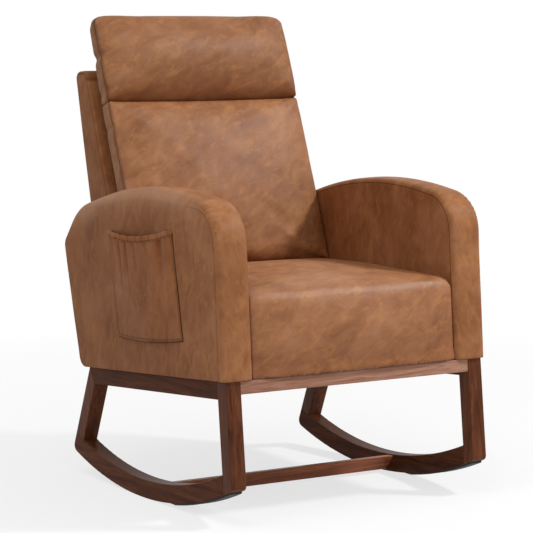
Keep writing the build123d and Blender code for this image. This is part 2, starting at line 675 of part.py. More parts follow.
def build_back():
    holes = bolt_holes(back_fasteners)
    frame_inset = COVER + SHELL_PAD
    frame_half = SHELL_WIDTH / 2 - frame_inset - FIT
    rail_half = frame_half - POST_WIDTH
    frame_face = shell_face(frame_inset + FIT)
    top, foot = SHELL_TOP_Z - frame_inset - FIT, SHELL_FOOT_Z + frame_inset + FIT
    open_foot, open_top = POST_OPENING_Z
    knee = on_shell_front(y=SHELL_FRONT_Y).Y
    post_opening = Polygon(
        *[(frame_front(z) + POST_RIM, z) for z in (open_foot, knee, open_top)],
        *[(shell_rear(z) - frame_inset - POST_RIM, z) for z in (open_top, open_foot)], align=None)

    def frame_rail(z, height):
        low, high = frame_front(z), frame_front(z + height)
        face = Polygon((low, z), (low + BACK_RAIL_DEPTH, z), (high + BACK_RAIL_DEPTH, z + height),
                       (high, z + height), align=None)
        return slab(face & frame_face, -rail_half, rail_half)

    def strap(z):
        lean = Rot(X=-RECLINE) * Box(2 * rail_half, WEBBING_THICKNESS, WEBBING_HEIGHT)
        return Pos(0, frame_front(z) + WEBBING_SET_BACK, z) * lean

    strap_foot = LUMBAR_RAIL_Z + BACK_RAIL_HEIGHT
    strap_step = (top - BACK_RAIL_HEIGHT - strap_foot) / (WEBBING_COUNT + 1)
    straps = [strap(strap_foot + strap_step * (index + 1)) for index in range(WEBBING_COUNT)]
    post = slab(frame_face - post_opening, rail_half, frame_half)
    filling = shell_form(COVER)
    window = block((-rail_half, rail_half), (SHELL_FRONT_Y + frame_inset, SHELL_FOOT_REAR_Y - frame_inset),
                   (SHELL_FOOT_Z - COVER, SHELL_FOOT_Z + 2 * COVER))
    cavity = slab(shell_face(frame_inset), -frame_half - FIT, frame_half + FIT)
    return {
        "back_post_right": post,
        "back_post_left": mirrored(post),
        "back_top_rail": frame_rail(top - BACK_RAIL_HEIGHT, BACK_RAIL_HEIGHT),
        "back_lumbar_rail": frame_rail(LUMBAR_RAIL_Z, BACK_RAIL_HEIGHT),
        "back_bottom_rail": frame_rail(foot, BOTTOM_RAIL_HEIGHT) - holes,
        "back_webbing": Compound(children=straps),
        "shell_foam": filling - cavity - holes,
        "shell_cover": shell_form(0) - filling - window - holes,
        "back_bolts": fastener_group(bolt, back_fasteners),
        "back_inserts": fastener_group(insert, back_fasteners),
    }


# Back cushion and headrest, drawn upright and then reclined


def cushion_face(spread, inset, shape):
    """Side outline of a cushion; spread runs from 0 in the middle to 1 at its side band."""
    pull = math.sqrt(1 - spread ** 8)
    rears = [shape["band"] + (depth - shape["band"]) * pull - inset for depth in shape["depths"]]
    front = CUSHION_EDGE * spread ** 12 + inset
    foot, top = shape["foot"] + inset, shape["top"] - shape["corner"] * spread ** 24 - inset
    roll_foot, roll_top = shape["rolls"]
    sole, toe = Vector(front + roll_foot, foot), Vector(front, foot + roll_foot)
    brow, crest = Vector(front, top - roll_top), Vector(front + roll_top, top)
    nape = Vector(rears[1], top)
    heel_point = Vector(rears[0], foot + shape["foot_slope"] * (rears[0] - sole.X))
    crown = shape["crown"] * (1 - 0.95 * spread ** 4)
    return make_face([
        Line(heel_point, sole), round_arc(Vector(front + roll_foot, foot + roll_foot), sole, toe),
        ThreePointArc(toe, (toe + brow) / 2 - Vector(crown, 0), brow),
        round_arc(Vector(front + roll_top, top - roll_top), brow, crest),
        Line(crest, nape), Line(nape, heel_point)])


def cushion_form(inset, shape):
    half = CUSHION_WIDTH / 2 - inset
    shares = [-share for share in reversed(CUSHION_STATIONS[1:])] + list(CUSHION_STATIONS)
    form = loft_across([(share * half, cushion_face(abs(share), inset, shape)) for share in shares])
    return Pos(0, CUSHION_FOOT_Y, CUSHION_FOOT_Z) * Rot(X=-RECLINE) * form


back_shape = {
    "foot": CUSHION_LIFT,
    "foot_slope": recline.X / recline.Y,
    "top": CUSHION_SEAM,
    "crown": CUSHION_CROWN,
    "band": CUSHION_BAND,
    "corner": 0,
    "depths": (CUSHION_DEPTH, CUSHION_DEPTH),
    "rolls": (CUSHION_ROLL, SEAM_ROLL),
}
headrest_shape = {
    "foot": CUSHION_SEAM + FIT,
    "foot_slope": 0,
    "top": CUSHION_SEAM + HEADREST_HEIGHT,
    "crown": HEADREST_CROWN,
    "band": HEADREST_BAND,
    "corner": HEADREST_CORNER,
    "depths": (CUSHION_DEPTH, HEADREST_TOP_DEPTH),
    "rolls": (SEAM_ROLL, HEADREST_TOP_ROLL),
}


def build_cushions():
    tilt = Pos(0, CUSHION_FOOT_Y, CUSHION_FOOT_Z) * Rot(X=-RECLINE)
    half_window = CUSHION_WIDTH / 2 - CUSHION_BAND
    window_depth = (CUSHION_BAND / 2, CUSHION_DEPTH - CUSHION_BAND / 5)
    window_height = (CUSHION_SEAM - COVER, CUSHION_SEAM + 2 * COVER)
    headrest_window = tilt * block((-half_window, half_window), window_depth, window_height)
    spacer_depth = (CUSHION_DEPTH + SPACER_GAP, CUSHION_STAND)
    spacer_half, spacer_inner = SPACER_WIDTH / 2, SPACER_WIDTH / 2 - SPACER_BOARD
    spacer_inside = (SPACER_FOOT + SPACER_BOARD, SPACER_TOP - SPACER_BOARD)
    spacer = block((-spacer_half, spacer_half), spacer_depth, (SPACER_FOOT, SPACER_TOP))
    spacer = spacer - block((-spacer_inner, spacer_inner), spacer_depth, spacer_inside)
    hollow_half = CUSHION_WIDTH / 2 - HOLLOW_MARGIN
    hollow_depth = (FOAM_HOLLOW, 2 * CUSHION_DEPTH)

    def hollow(foot, top):
        height = (foot + HOLLOW_MARGIN, top - HOLLOW_MARGIN)
        return tilt * block((-hollow_half, hollow_half), hollow_depth, height)

    back_filling = cushion_form(COVER, back_shape)
    headrest_filling = cushion_form(COVER, headrest_shape)
    return {
        "back_cushion_foam": back_filling - hollow(0, CUSHION_SEAM),
        "back_cushion_cover": cushion_form(0, back_shape) - back_filling,
        "cushion_spacer": tilt * spacer,
        "headrest_foam": headrest_filling - hollow(CUSHION_SEAM, CUSHION_SEAM + HEADREST_HEIGHT),
        "headrest_cover": cushion_form(0, headrest_shape) - headrest_filling - headrest_window,
    }


# The whole chair, leant back to its rest and set on the floor

pieces = build_base() | build_seat() | build_arms() | build_pockets() | build_back() | build_cushions()
rail_holes = bolt_holes(seat_fasteners) + [
    rod(start - heading * SEAT_BOLT_RECESS, heading, BOLT_HEAD_RADIUS + HOLE_CLEARANCE, SEAT_BOLT_RECESS)
    for start, heading, grip in seat_fasteners]
for name in ("front_rail", "rear_rail"):
    pieces[name] = pieces[name] - rail_holes

lean_back = Rot(X=-REST_TILT)
boxes = [(lean_back * piece).bounding_box() for piece in pieces.values()]
low = [min(tuple(box.min)[axis] for box in boxes) for axis in range(3)]
high = [max(tuple(box.max)[axis] for box in boxes) for axis in range(3)]
stand = Pos(-(low[0] + high[0]) / 2, -(low[1] + high[1]) / 2, -low[2]) * lean_back

os.makedirs("parts", exist_ok=True)
for name, piece in pieces.items():
    export_step(stand * piece, f"parts/{name}.step")
print(f"{len(pieces)} nodes,", " x ".join(f"{top - foot:.1f}" for foot, top in zip(low, high)), "mm")
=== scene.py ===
import math

import bpy
import numpy as np
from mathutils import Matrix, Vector


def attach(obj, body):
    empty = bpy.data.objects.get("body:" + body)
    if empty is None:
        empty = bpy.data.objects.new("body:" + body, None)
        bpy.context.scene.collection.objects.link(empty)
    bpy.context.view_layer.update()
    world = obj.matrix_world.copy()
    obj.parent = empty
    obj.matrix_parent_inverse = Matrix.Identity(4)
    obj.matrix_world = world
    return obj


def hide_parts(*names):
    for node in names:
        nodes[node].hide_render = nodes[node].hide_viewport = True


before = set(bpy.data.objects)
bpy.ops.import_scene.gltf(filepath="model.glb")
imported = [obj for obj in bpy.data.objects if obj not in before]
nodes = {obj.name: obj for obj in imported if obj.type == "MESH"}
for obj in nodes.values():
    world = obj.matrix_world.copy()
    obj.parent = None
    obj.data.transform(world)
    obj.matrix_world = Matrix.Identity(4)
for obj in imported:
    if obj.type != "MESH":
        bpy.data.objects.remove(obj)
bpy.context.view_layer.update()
print("frame loaded:", len(nodes), "nodes")

# Every measure below is in the chair's own level frame, in millimetres, as the chair is drawn before
# it leans back: x to the right, y from the front legs to the back, z up from the top of the wooden base.
stance = {"lean": math.radians(4.39), "shiftY": -381.909, "shiftZ": 299.586}
sides = {"left": -1, "right": 1}


def toFloor(points):
    # level millimetres to leant-back metres: y' = y cos a + z sin a + shift, z' = z cos a - y sin a + shift
    c, s = math.cos(stance["lean"]), math.sin(stance["lean"])
    x, y, z = points[..., 0], points[..., 1], points[..., 2]
    return np.stack([x, y * c + z * s + stance["shiftY"], z * c - y * s + stance["shiftZ"]], -1) / 1000


def place(x, y, z):
    return np.stack(np.broadcast_arrays(x, y, z), -1).astype(float)


def ringAt(x, line):
    # a side view's line of y and z, set at one x or at an x for each of its points
    return place(x, line[:, 0], line[:, 1])


def mirrored(points, side):
    return points * np.array([side, 1, 1])


def withPoles(values, pole=0.0):
    # marks of a closed loft, whose last two points are its poles
    return np.append(values, [pole, pole])


def ripple(points, size, seed):
    # a sum of plane waves in fixed directions, about -1 to 1, one wave every size millimetres
    rng, count = np.random.default_rng(seed), 9
    waves = rng.normal(size=(count, 3))
    lengths = np.linalg.norm(waves, axis=1, keepdims=True)
    waves *= 2 * np.pi / size * (0.6 + 0.8 * rng.random((count, 1))) / lengths
    return np.sin(points @ waves.T + 2 * np.pi * rng.random(count)).sum(-1) / (count / 2)


def bell(distance, width):
    # exp(-(distance / width) squared), 1 at no distance
    return np.exp(-(distance / width) ** 2)


def past(value, start, span):
    # how far a value is past a start, as a share of a span, held between 0 and 1
    return np.clip((value - start) / span, 0, 1)


def unit(vector):
    return vector / np.linalg.norm(vector)


def straight(start, end, count):
    # start + t (end - start), without the end
    t = np.arange(count)[:, None] / count
    return start + t * (end - start)


def bow(start, end, rise, count):
    # a straight line plus 4 t (1 - t) times the rise
    t = np.arange(count)[:, None] / count
    return start + t * (end - start) + 4 * t * (1 - t) * rise


def bend(centre, start, end, count):
    # an arc about a centre, the short way round
    a, b = start - centre, end - centre
    turn = math.atan2(a[0] * b[1] - a[1] * b[0], a @ b)
    angle = math.atan2(a[1], a[0]) + np.arange(count) / count * turn
    return centre + np.linalg.norm(a) * np.stack([np.cos(angle), np.sin(angle)], -1)


def heading(degrees):
    # a unit vector in the side view, leaning back from upright
    return np.array([math.sin(math.radians(degrees)), math.cos(math.radians(degrees))])


def loftFaces(ringCount, around):
    # quads between neighbouring closed rings, and a fan to a pole at each end
    ring, step = np.meshgrid(np.arange(ringCount - 1), np.arange(around), indexing="ij")
    ahead = (step + 1) % around
    quads = np.stack([ring * around + step, ring * around + ahead,
                      (ring + 1) * around + ahead, (ring + 1) * around + step], -1).reshape(-1, 4)
    first, last = ringCount * around, ringCount * around + 1
    turn = np.arange(around)
    nextTurn = (turn + 1) % around
    top = (ringCount - 1) * around
    fans = np.concatenate([np.stack([np.full(around, first), nextTurn, turn], -1),
                           np.stack([np.full(around, last), top + turn, top + nextTurn], -1)])
    return quads, fans


def closedLoft(rings):
    # rings of points joined in order, each end closed on the mean of its ring, faces turned outwards
    points = np.concatenate([rings.reshape(-1, 3), rings[0].mean(0)[None], rings[-1].mean(0)[None]])
    quads, fans = loftFaces(*rings.shape[:2])
    corners = np.concatenate([quads[:, [0, 1, 2]], quads[:, [0, 2, 3]], fans])
    a, b, c = (points[corners[:, i]] for i in range(3))
    if np.einsum("ij,ij->i", a, np.cross(b, c)).sum() < 0:
        quads, fans = quads[:, ::-1], fans[:, ::-1]
    return points, quads.tolist() + fans.tolist()


def linked(name, data):
    thing = bpy.data.objects.new(name, data)
    bpy.context.scene.collection.objects.link(thing)
    return thing


def meshPiece(name, points, faces, finish, marks=None):
    # points in metres in the frame; marks are point attributes that the finishes read
    mesh = bpy.data.meshes.new(name)
    mesh.from_pydata(points, [], faces)
    mesh.polygons.foreach_set("use_smooth", np.ones(len(mesh.polygons), bool))
    for mark, values in (marks or {}).items():
        mesh.attributes.new(mark, "FLOAT", "POINT").data.foreach_set("value", values.astype(np.float32))
    mesh.materials.append(finish)
    mesh.update()
    piece = linked(name, mesh)
    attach(piece, "root")
    return piece


def meshArrays(mesh):
    points = np.zeros(len(mesh.vertices) * 3, np.float32)
    mesh.vertices.foreach_get("co", points)
    return points.reshape(-1, 3).astype(float)


def evaluated(piece):
    graph = bpy.context.evaluated_depsgraph_get()
    return bpy.data.meshes.new_from_object(piece.evaluated_get(graph))


# Finishes


class Wire:
    # an output socket in a node tree; sums, products and powers on it add Math nodes
    def __init__(self, tree, socket):
        self.tree, self.socket = tree, socket

    def maths(self, operation, first, second):
        node = self.tree.nodes.new("ShaderNodeMath")
        node.operation = operation
        for slotIndex, value in enumerate((first, second)):
            if isinstance(value, Wire):
                self.tree.links.new(value.socket, node.inputs[slotIndex])
            else:
                node.inputs[slotIndex].default_value = value
        return Wire(self.tree, node.outputs[0])

    def __add__(self, other): return self.maths("ADD", self, other)
    def __radd__(self, other): return self.maths("ADD", other, self)
    def __sub__(self, other): return self.maths("SUBTRACT", self, other)
    def __rsub__(self, other): return self.maths("SUBTRACT", other, self)
    def __mul__(self, other): return self.maths("MULTIPLY", self, other)
    def __rmul__(self, other): return self.maths("MULTIPLY", other, self)
    def __pow__(self, other): return self.maths("POWER", self, other)


class NodeTree:
    # a node tree that grows one node at a time
    def __init__(self, tree):
        self.tree = tree

    def add(self, kind, settings=None, values=None, output=0):
        node = self.tree.nodes.new(kind)
        for key, value in (settings or {}).items():
            if key == "stops":
                ramp = node.color_ramp
                while len(ramp.elements) < len(value):
                    ramp.elements.new(0.5)
                for element, (position, colour) in zip(ramp.elements, value):
                    element.position, element.color = position, colour
            else:
                setattr(node, key, value)
        for key, value in (values or {}).items():
            if isinstance(value, Wire):
                self.tree.links.new(value.socket, node.inputs[key])
            else:
                node.inputs[key].default_value = value
        return Wire(self.tree, node.outputs[output])

    def seenRay(self):
        # 1 for camera, glossy and transmission rays
        path = [self.add("ShaderNodeLightPath", output=name)
                for name in ("Is Camera Ray", "Is Glossy Ray", "Is Transmission Ray")]
        most = path[0].maths("MAXIMUM", path[0], path[1])
        return most.maths("MAXIMUM", most, path[2])


class Finish(NodeTree):
    # one procedural material and its shader
    def __init__(self, name, **constants):
        self.material = bpy.data.materials.new(name)
        self.material.use_nodes = True
        super().__init__(self.material.node_tree)
        self.shader = self.tree.nodes["Principled BSDF"]
        for socketName, value in constants.items():
            self.shader.inputs[socketName.replace("_", " ")].default_value = value

    def set(self, socketName, wire):
        self.tree.links.new(wire.socket, self.shader.inputs[socketName])

    def coords(self, turn=(0, 0, 0), stretch=(1, 1, 1)):
        # object coordinates in a turned frame, with the pattern drawn out along that frame's axes
        spot = self.add("ShaderNodeTexCoord", output="Object")
        return self.add("ShaderNodeMapping", {"vector_type": "TEXTURE"},
                        {"Vector": spot, "Rotation": turn, "Scale": stretch})

    def noise(self, where, scale, detail=3.0, rough=0.5, warp=0.0):
        return self.add("ShaderNodeTexNoise", values={
            "Vector": where, "Scale": scale, "Detail": detail, "Roughness": rough, "Distortion": warp})

    def ramp(self, value, stops):
        # the ramp's first two stops exist already, so the list has at least two
        return self.add("ShaderNodeValToRGB", {"stops": stops}, {"Fac": value})

    def blend(self, share, first, second, kind="MIX"):
        return self.add("ShaderNodeMix", {"data_type": "RGBA", "blend_type": kind},
                        {0: share, 6: first, 7: second}, output=2)

    def bump(self, height, strength, distance):
        self.set("Normal", self.add("ShaderNodeBump", values={
            "Height": height, "Strength": strength, "Distance": distance}))


def tone(red, green, blue):
    # screen colour, 0 to 255, to the renderer's linear colour
    c = np.array([red, green, blue]) / 255
    return tuple(np.where(c <= 0.04045, c / 12.92, ((c + 0.055) / 1.055) ** 2.4)) + (1.0,)


def shaded(colour, shade):
    # a screen colour, made linear and scaled
    return tuple(min(1.0, channel * shade) for channel in tone(*colour)[:3]) + (1.0,)


# where three tones lie along a noise
toneStops = (0.34, 0.5, 0.68)
# each noise is a scale, a detail, a roughness and a distortion; a relief is a strength and a distance
# the seam colour paints shadow lines into seam gaps; the multiply colour after it darkens shaded places as
# painted shade; the pale colour after that lightens the arms' top rolls, part wear and part painted highlight
leatherLook = {
    "deep": (126, 79, 48), "body": (147, 97, 63), "pale": (166, 116, 83), "streak": (186, 128, 76),
    "seam": (46, 23, 13), "crease": (0.64, 0.43, 0.25), "worn": (212, 166, 136), "rough": 0.48,
    "clouds": (8.5, 4, 0.55, 0.5), "mottle": (27, 5, 0.62, 0.9), "strokes": (46, 4, 0.58, 0.9),
    "flecks": (120, 3, 0.55, 0.7), "wrinkle": (120, 4, 0.6, 1.2), "pebble": 620.0, "relief": (0.35, 0.0012),
}


def makeLeather(name, turn, stretch, shade, gloss, rub):
    # a rubbed leather: wide clouds, smaller mottling, short pale strokes and a pebble grain; point attributes
    # paint shade into its shaded places, lighten its rolls with wear and a painted highlight, and draw its
    # seams as painted shadow lines
    look = leatherLook
    finish = Finish(name, Specular_IOR_Level=gloss)
    flat = finish.coords()
    drawn = finish.coords(turn, stretch)
    clouds = finish.noise(flat, *look["clouds"])
    mottle, strokes, flecks, wrinkle = (finish.noise(drawn, *look[key])
                                        for key in ("mottle", "strokes", "flecks", "wrinkle"))
    tones = [shaded(look[key], shade) for key in ("deep", "body", "pale")]
    base = finish.ramp(clouds * 0.5 + mottle * 0.5, list(zip(toneStops, tones)))
    pale = finish.ramp(strokes * 0.75 + flecks * 0.25, [(0.5, (0, 0, 0, 1)), (0.7, (1, 1, 1, 1))])
    coloured = finish.blend(pale * rub, base, shaded(look["streak"], shade))
    crease, worn, seam = (finish.add("ShaderNodeAttribute", {"attribute_name": mark}, output="Fac")
                          for mark in ("crease", "worn", "seam"))
    # lighter where the pale mark is set, part wear and part painted highlight; then painted shade is
    # multiplied in, then painted shadow lines along the seams
    lightened = finish.blend(worn, coloured, shaded(look["worn"], shade))
    shadePainted = finish.blend(crease, lightened, look["crease"] + (1.0,), "MULTIPLY")
    finish.set("Base Color", finish.blend(seam, shadePainted, tone(*look["seam"])))
    finish.set("Roughness", look["rough"] + mottle * 0.16 - 0.08 + seam * 0.2)
    pebble = finish.add("ShaderNodeTexVoronoi", {"feature": "SMOOTH_F1"},
                        {"Vector": flat, "Scale": look["pebble"]})
    finish.bump(pebble * 0.35 + wrinkle * 0.8 + mottle * 1.2, *look["relief"])
    return finish.material


woodLook = {
    "dark": (53, 27, 15), "body": (81, 44, 26), "light": (105, 61, 38), "rough": 0.36, "figure": 0.35,
}
railLook = {
    "dark": (118, 78, 61), "body": (149, 107, 87), "light": (172, 130, 109), "rough": 0.4, "figure": 0.15,
}
woodGrain = {
    "draw": 16, "streaks": (95, 6, 0.62, 0.7), "bands": (24, 4, 0.5, 1.4), "pores": (420, 3, 0.55),
    "relief": (0.16, 0.0006),
}


def makeWood(name, grain, look, lift=1.0, gloss=0.07):
    # stained hardwood: long streaks along the grain, pores, a thin satin lacquer
    finish = Finish(name, Specular_IOR_Level=gloss, Coat_Weight=gloss * 0.3, Coat_Roughness=0.25)
    along = finish.coords(stretch=[woodGrain["draw"] if axis == grain else 1 for axis in "xyz"])
    streaks, bands, pores = (finish.noise(along, *woodGrain[key]) for key in ("streaks", "bands", "pores"))
    # the lift scales the tones: painted light
    tones = [shaded(look[key], lift) for key in ("dark", "body", "light")]
    figure = streaks * (1 - look["figure"]) + bands * look["figure"]
    base = finish.ramp(figure, list(zip(toneStops, tones)))
    poreMask = finish.ramp(pores, [(0.34, (1, 1, 1, 1)), (0.46, (0, 0, 0, 1))])
    finish.set("Base Color", finish.blend(poreMask * 0.5, base, tones[0]))
    finish.set("Roughness", look["rough"] + streaks * 0.22 - 0.1)
    finish.bump(streaks + pores * 0.5, *woodGrain["relief"])
    return finish.material


def makePlain(name, dark, light, scale, rough, bumpDepth, metal=0.0, stretch=(1, 1, 1)):
    # hidden and small pieces: two tones of fine noise with a matching relief
    finish = Finish(name, Metallic=metal)
    where = finish.coords(stretch=stretch)
    coarse = finish.noise(where, scale, 5, 0.6, 0.3)
    fine = finish.noise(where, scale * 6, 3, 0.5)
    mix = coarse * 0.6 + fine * 0.4
    finish.set("Base Color", finish.ramp(mix, [(0.35, tone(*dark)), (0.65, tone(*light))]))
    finish.set("Roughness", rough + mix * 0.2 - 0.1)
    finish.bump(mix, 0.3, bumpDepth)
    return finish.material


def makeWeave(name, dark, light, pitch):
    # a plain weave of crossing threads: the product of two sines of the object coordinates
    finish = Finish(name, Sheen_Weight=0.15)
    where = finish.coords((0.5, 0.3, 0.8))
    across = finish.add("ShaderNodeTexWave", {"bands_direction": "X"}, {"Vector": where, "Scale": pitch})
    along = finish.add("ShaderNodeTexWave", {"bands_direction": "Y"}, {"Vector": where, "Scale": pitch})
    fuzz = finish.noise(where, pitch * 2, 4, 0.6)
    mix = across * 0.35 + along * 0.35 + fuzz * 0.3
    finish.set("Base Color", finish.ramp(mix, [(0.2, tone(*dark)), (0.8, tone(*light))]))
    finish.set("Roughness", 0.85 + fuzz * 0.1)
    finish.bump(mix, 0.4, 0.0005)
    return finish.material


# leathers: turn and stretch of the pattern, shade, gloss, rub; the shade scales each piece's copy of the one
# leather to how bright that piece looks in the light, painted light and shade
armLeather = makeLeather("armLeather", (0.12, 0.0, 0.1), (1, 1, 1.9), 0.92, 0.06, 0.42)
seatLeather = makeLeather("seatLeather", (0.2, -0.5, 0.35), (2.0, 1.3, 1), 0.93, 0.24, 0.56)
backLeather = makeLeather("backLeather", (0.0, -0.62, 0.0), (2.1, 1, 1), 0.85, 0.16, 0.56)
headLeather = makeLeather("headLeather", (0.1, -0.5, 0.1), (2.1, 1, 1), 0.75, 0.16, 0.56)
shellLeather = makeLeather("shellLeather", (0.1, 0.05, 0.0), (1, 1, 1.8), 0.88, 0.06, 0.38)
pocketLeather = makeLeather("pocketLeather", (0.1, 0.05, 0.0), (1, 1, 1.8), 0.92, 0.06, 0.38)
# a darker copy of the leather for the spacer: painted shade for the shadowed gap between the shell and the
# back cushion
recessLeatherPaintedShade = makeLeather("recessLeatherPaintedShade", (0.1, 0.05, 0.0), (1, 1, 1.8), 0.5, 0.06, 0.3)
# woods: way of the grain, look, lift, gloss; a lift above 1 is painted light, a lighter copy of the one wood
# look, and the stretcher's, the largest, brightens it where it lies in shade under the seat
railWood = makeWood("frontRailWood", "x", railLook)
crossWood = makeWood("crossWood", "x", woodLook, 1.25)
stretcherWoodPaintedLight = makeWood("stretcherWoodPaintedLight", "x", woodLook, 3.6)
runnerWood = makeWood("runnerWood", "y", woodLook, 1.05, 0.03)
legWood = makeWood("legWood", "z", woodLook, 1.3)
# plain ones and weaves: dark and light tone, scale, then roughness and relief
plywood = makePlain("plywood", (150, 116, 78), (190, 158, 118), 60, 0.6, 0.0004, stretch=(1, 8, 1))
rubber = makePlain("padRubber", (12, 12, 12), (26, 25, 25), 300, 0.7, 0.0003)
felt = makePlain("springFelt", (96, 94, 90), (138, 134, 128), 420, 0.9, 0.0008)
steel = makePlain("springSteel", (90, 92, 95), (150, 152, 155), 240, 0.4, 0.0002, metal=1.0)
plated = makePlain("platedSteel", (58, 56, 54), (92, 90, 86), 320, 0.4, 0.0001, metal=1.0)
webbing = makeWeave("backWebbing", (52, 48, 44), (92, 86, 78), 160)
dustCloth = makeWeave("dustCloth", (14, 14, 15), (34, 34, 36), 260)
print("finishes made")

# Wooden base and hidden pieces keep their solids and get these finishes
nodeFinishes = {
    "front_rail": railWood, "rear_rail": crossWood, "floor_stretcher": stretcherWoodPaintedLight,
    "frame_dowels": crossWood, "seat_springs": steel, "spring_clips": plated, "spring_pad": felt,
    "dust_cover": dustCloth, "back_webbing": webbing, "cushion_spacer": recessLeatherPaintedShade,
}
for unitName in ("seat", "arm", "back"):
    nodeFinishes |= {unitName + "_bolts": plated, unitName + "_inserts": plated}
for label in sides:
    nodeFinishes |= {"runner_" + label: runnerWood, "side_rail_" + label: runnerWood,
                     "front_leg_" + label: legWood, "rear_leg_" + label: legWood,
                     "runner_pad_" + label: rubber}
for name, node in nodes.items():
    for materialSlot in node.material_slots:
        materialSlot.material = nodeFinishes.get(name, plywood)

# Arms: a band over the front, top and rear, sewn to a panel on each side

# here and in the later dictionaries a fade is a start and a span
arm = {
    "inner": 256.5, "outer": 335.0, "front": -2.0, "back": 628.0, "rake": 11.0, "topZ": 399.0,
    "topY": 322.0, "topRadius": 1020.0, "frontRadius": 92.0, "heelRadius": 28.0, "fallRun": 53.0,
    "rearRadius": 140.0, "slopeLean": 44.0, "shoulderRadius": 20.0,
    "draw": 9.0, "drawPower": 10, "outerDraw": 22.0, "outerPower": 4, "crown": 3.0,
    "footShare": 0.2, "foot": 0.3, "pillow": 1.6, "pillowPower": 6,
    "seamDepth": 0.9, "outerSeam": 0.6, "innerSeam": 0.85, "seamFade": (20, 110),
    "softFade": (10, 150), "footFade": (60, 120), "rearFade": (480, 90),
    "wave": 0.8, "waveSize": 150, "waveSeed": 3, "waveEdge": 20, "waveFade": (0, 40),
    "innerShade": (0.2, 0.5), "innerEdge": 4, "innerFade": (330, 140),
    "outerShade": (0.04, 0.24), "outerEdge": 6, "outerFade": (50, 140),
    "worn": 0.36, "wearAndHighlightDepth": 70, "wearAndHighlightRun": 66, "wearAndHighlightAcross": 30, "wearAndHighlightFade": (50, 110),
    "crestLine": ((60, 140, 322, 480, 560), (330, 377, 399, 387, 350)),
}


def armOutline(draw, foot):
    # the arm from the side: straight front, three arcs over the top, a slope down to a rounded shoulder,
    # a raked back and a rounded heel, each line drawn in by the same amount
    rake, outward = heading(arm["rake"]), heading(arm["rake"] + 90)
    top = np.array([arm["topY"], arm["topZ"] - arm["topRadius"]])
    frontY = arm["front"] + arm["frontRadius"]
    rise = math.sqrt((arm["topRadius"] - arm["frontRadius"]) ** 2 - (frontY - top[0]) ** 2)
    front = np.array([frontY, top[1] + rise])
    backFoot = np.array([arm["back"], 0])
    sine = (arm["back"] - arm["fallRun"] - arm["topY"]) / arm["topRadius"]
    fallRay = np.array([sine, math.sqrt(1 - sine ** 2)])
    rear = top + fallRay * (arm["topRadius"] - arm["rearRadius"])
    slope, upward = heading(-arm["slopeLean"]), heading(90 - arm["slopeLean"])
    eave = rear + upward * arm["rearRadius"]
    corner = eave + slope * ((backFoot - eave) @ outward / (slope @ outward))
    shoulder = corner - (outward + upward) * (arm["shoulderRadius"] + draw) / (1 + outward @ upward)
    heelLine = backFoot - outward * (arm["heelRadius"] + draw)
    heel = heelLine + rake * ((foot + arm["heelRadius"] - heelLine[1]) / rake[1])
    toe, brow = np.array([arm["front"] + draw, foot]), np.array([arm["front"] + draw, front[1]])
    crest = top + unit(front - top) * (arm["topRadius"] - draw)
    fall, cheek = top + fallRay * (arm["topRadius"] - draw), rear + upward * (arm["rearRadius"] - draw)
    jowl, nape = shoulder + upward * arm["shoulderRadius"], shoulder + outward * arm["shoulderRadius"]
    hip = heel + outward * arm["heelRadius"]
    sole = heel - np.array([0, arm["heelRadius"]])
    return np.concatenate([
        straight(toe, brow, 50), bend(front, brow, crest, 70), bend(top, crest, fall, 60),
        bend(rear, fall, cheek, 30), straight(cheek, jowl, 10), bend(shoulder, jowl, nape, 10),
        straight(nape, hip, 40), bend(heel, hip, sole, 14), straight(sole, toe, 80)])


def armRings():
    # rings from the middle of the outer panel over the band to the middle of the inner one; the band is
    # drawn in by a power of its place across, tight inside and at the front, wide on top outside
    middle, half = (arm["inner"] + arm["outer"]) / 2, (arm["outer"] - arm["inner"]) / 2
    panel = np.concatenate([[0.02], np.linspace(0.06, 0.9, 22), [0.93, 0.955, 0.972, 0.984, 0.992]])
    band = np.concatenate([[0.996, 0.985, 0.965, 0.94, 0.91, 0.87], np.linspace(0.82, -0.82, 19),
                           [-0.88, -0.92, -0.95, -0.97, -0.985, -0.994]])
    rings, seam = [], []

    def addRing(x, line, mark=0.0):
        rings.append(ringAt(x, line))
        seam.append(np.broadcast_to(mark, len(line)))

    def addPanel(x, edge, shares, pillow):
        centre = edge.mean(0)
        for share in shares:
            addRing(x + pillow * (1 - share ** arm["pillowPower"]), centre + (edge - centre) * share)

    def bandLine(share, deep, power):
        draw = deep * abs(share) ** power
        return armOutline(draw - arm["crown"] * (1 - share ** 2), arm["footShare"] * draw + arm["foot"])

    def edgeLine(share):
        tight = bandLine(share, arm["draw"], arm["drawPower"])
        if share < 0:
            return tight
        return tight + soft[:, None] * (bandLine(share, arm["outerDraw"], arm["outerPower"]) - tight)

    y, z = armOutline(0, arm["foot"]).T
    soft = past(y, *arm["softFade"]) * past(z, *arm["footFade"]) * (1 - past(y, *arm["rearFade"]))
    sharp = 1 - past(y, *arm["seamFade"])
    outer, inner = edgeLine(1), edgeLine(-1)
    addPanel(arm["outer"], outer, panel, arm["pillow"])
    # the seam rings carry painted shadow lines; the outer one fades out behind the front curve
    addRing(arm["outer"] - arm["seamDepth"] * sharp, outer, arm["outerSeam"] * sharp)
    for share in band:
        addRing(middle + share * half, edgeLine(share))
    addRing(arm["inner"] + arm["seamDepth"], inner, arm["innerSeam"])
    addPanel(arm["inner"], inner, panel[::-1], 0.0)
    return np.stack(rings), np.stack(seam)


gathers = {
    "centre": (92.0, 290.0), "turn": 0.75, "spread": 0.5, "count": 7.5, "sway": (0.06, 5), "reach": 15.0,
    "seamGap": 2.0, "hubFade": (14.0, 70.0), "innerGap": 4.0, "depth": 1.5, "shade": 0.35,
}


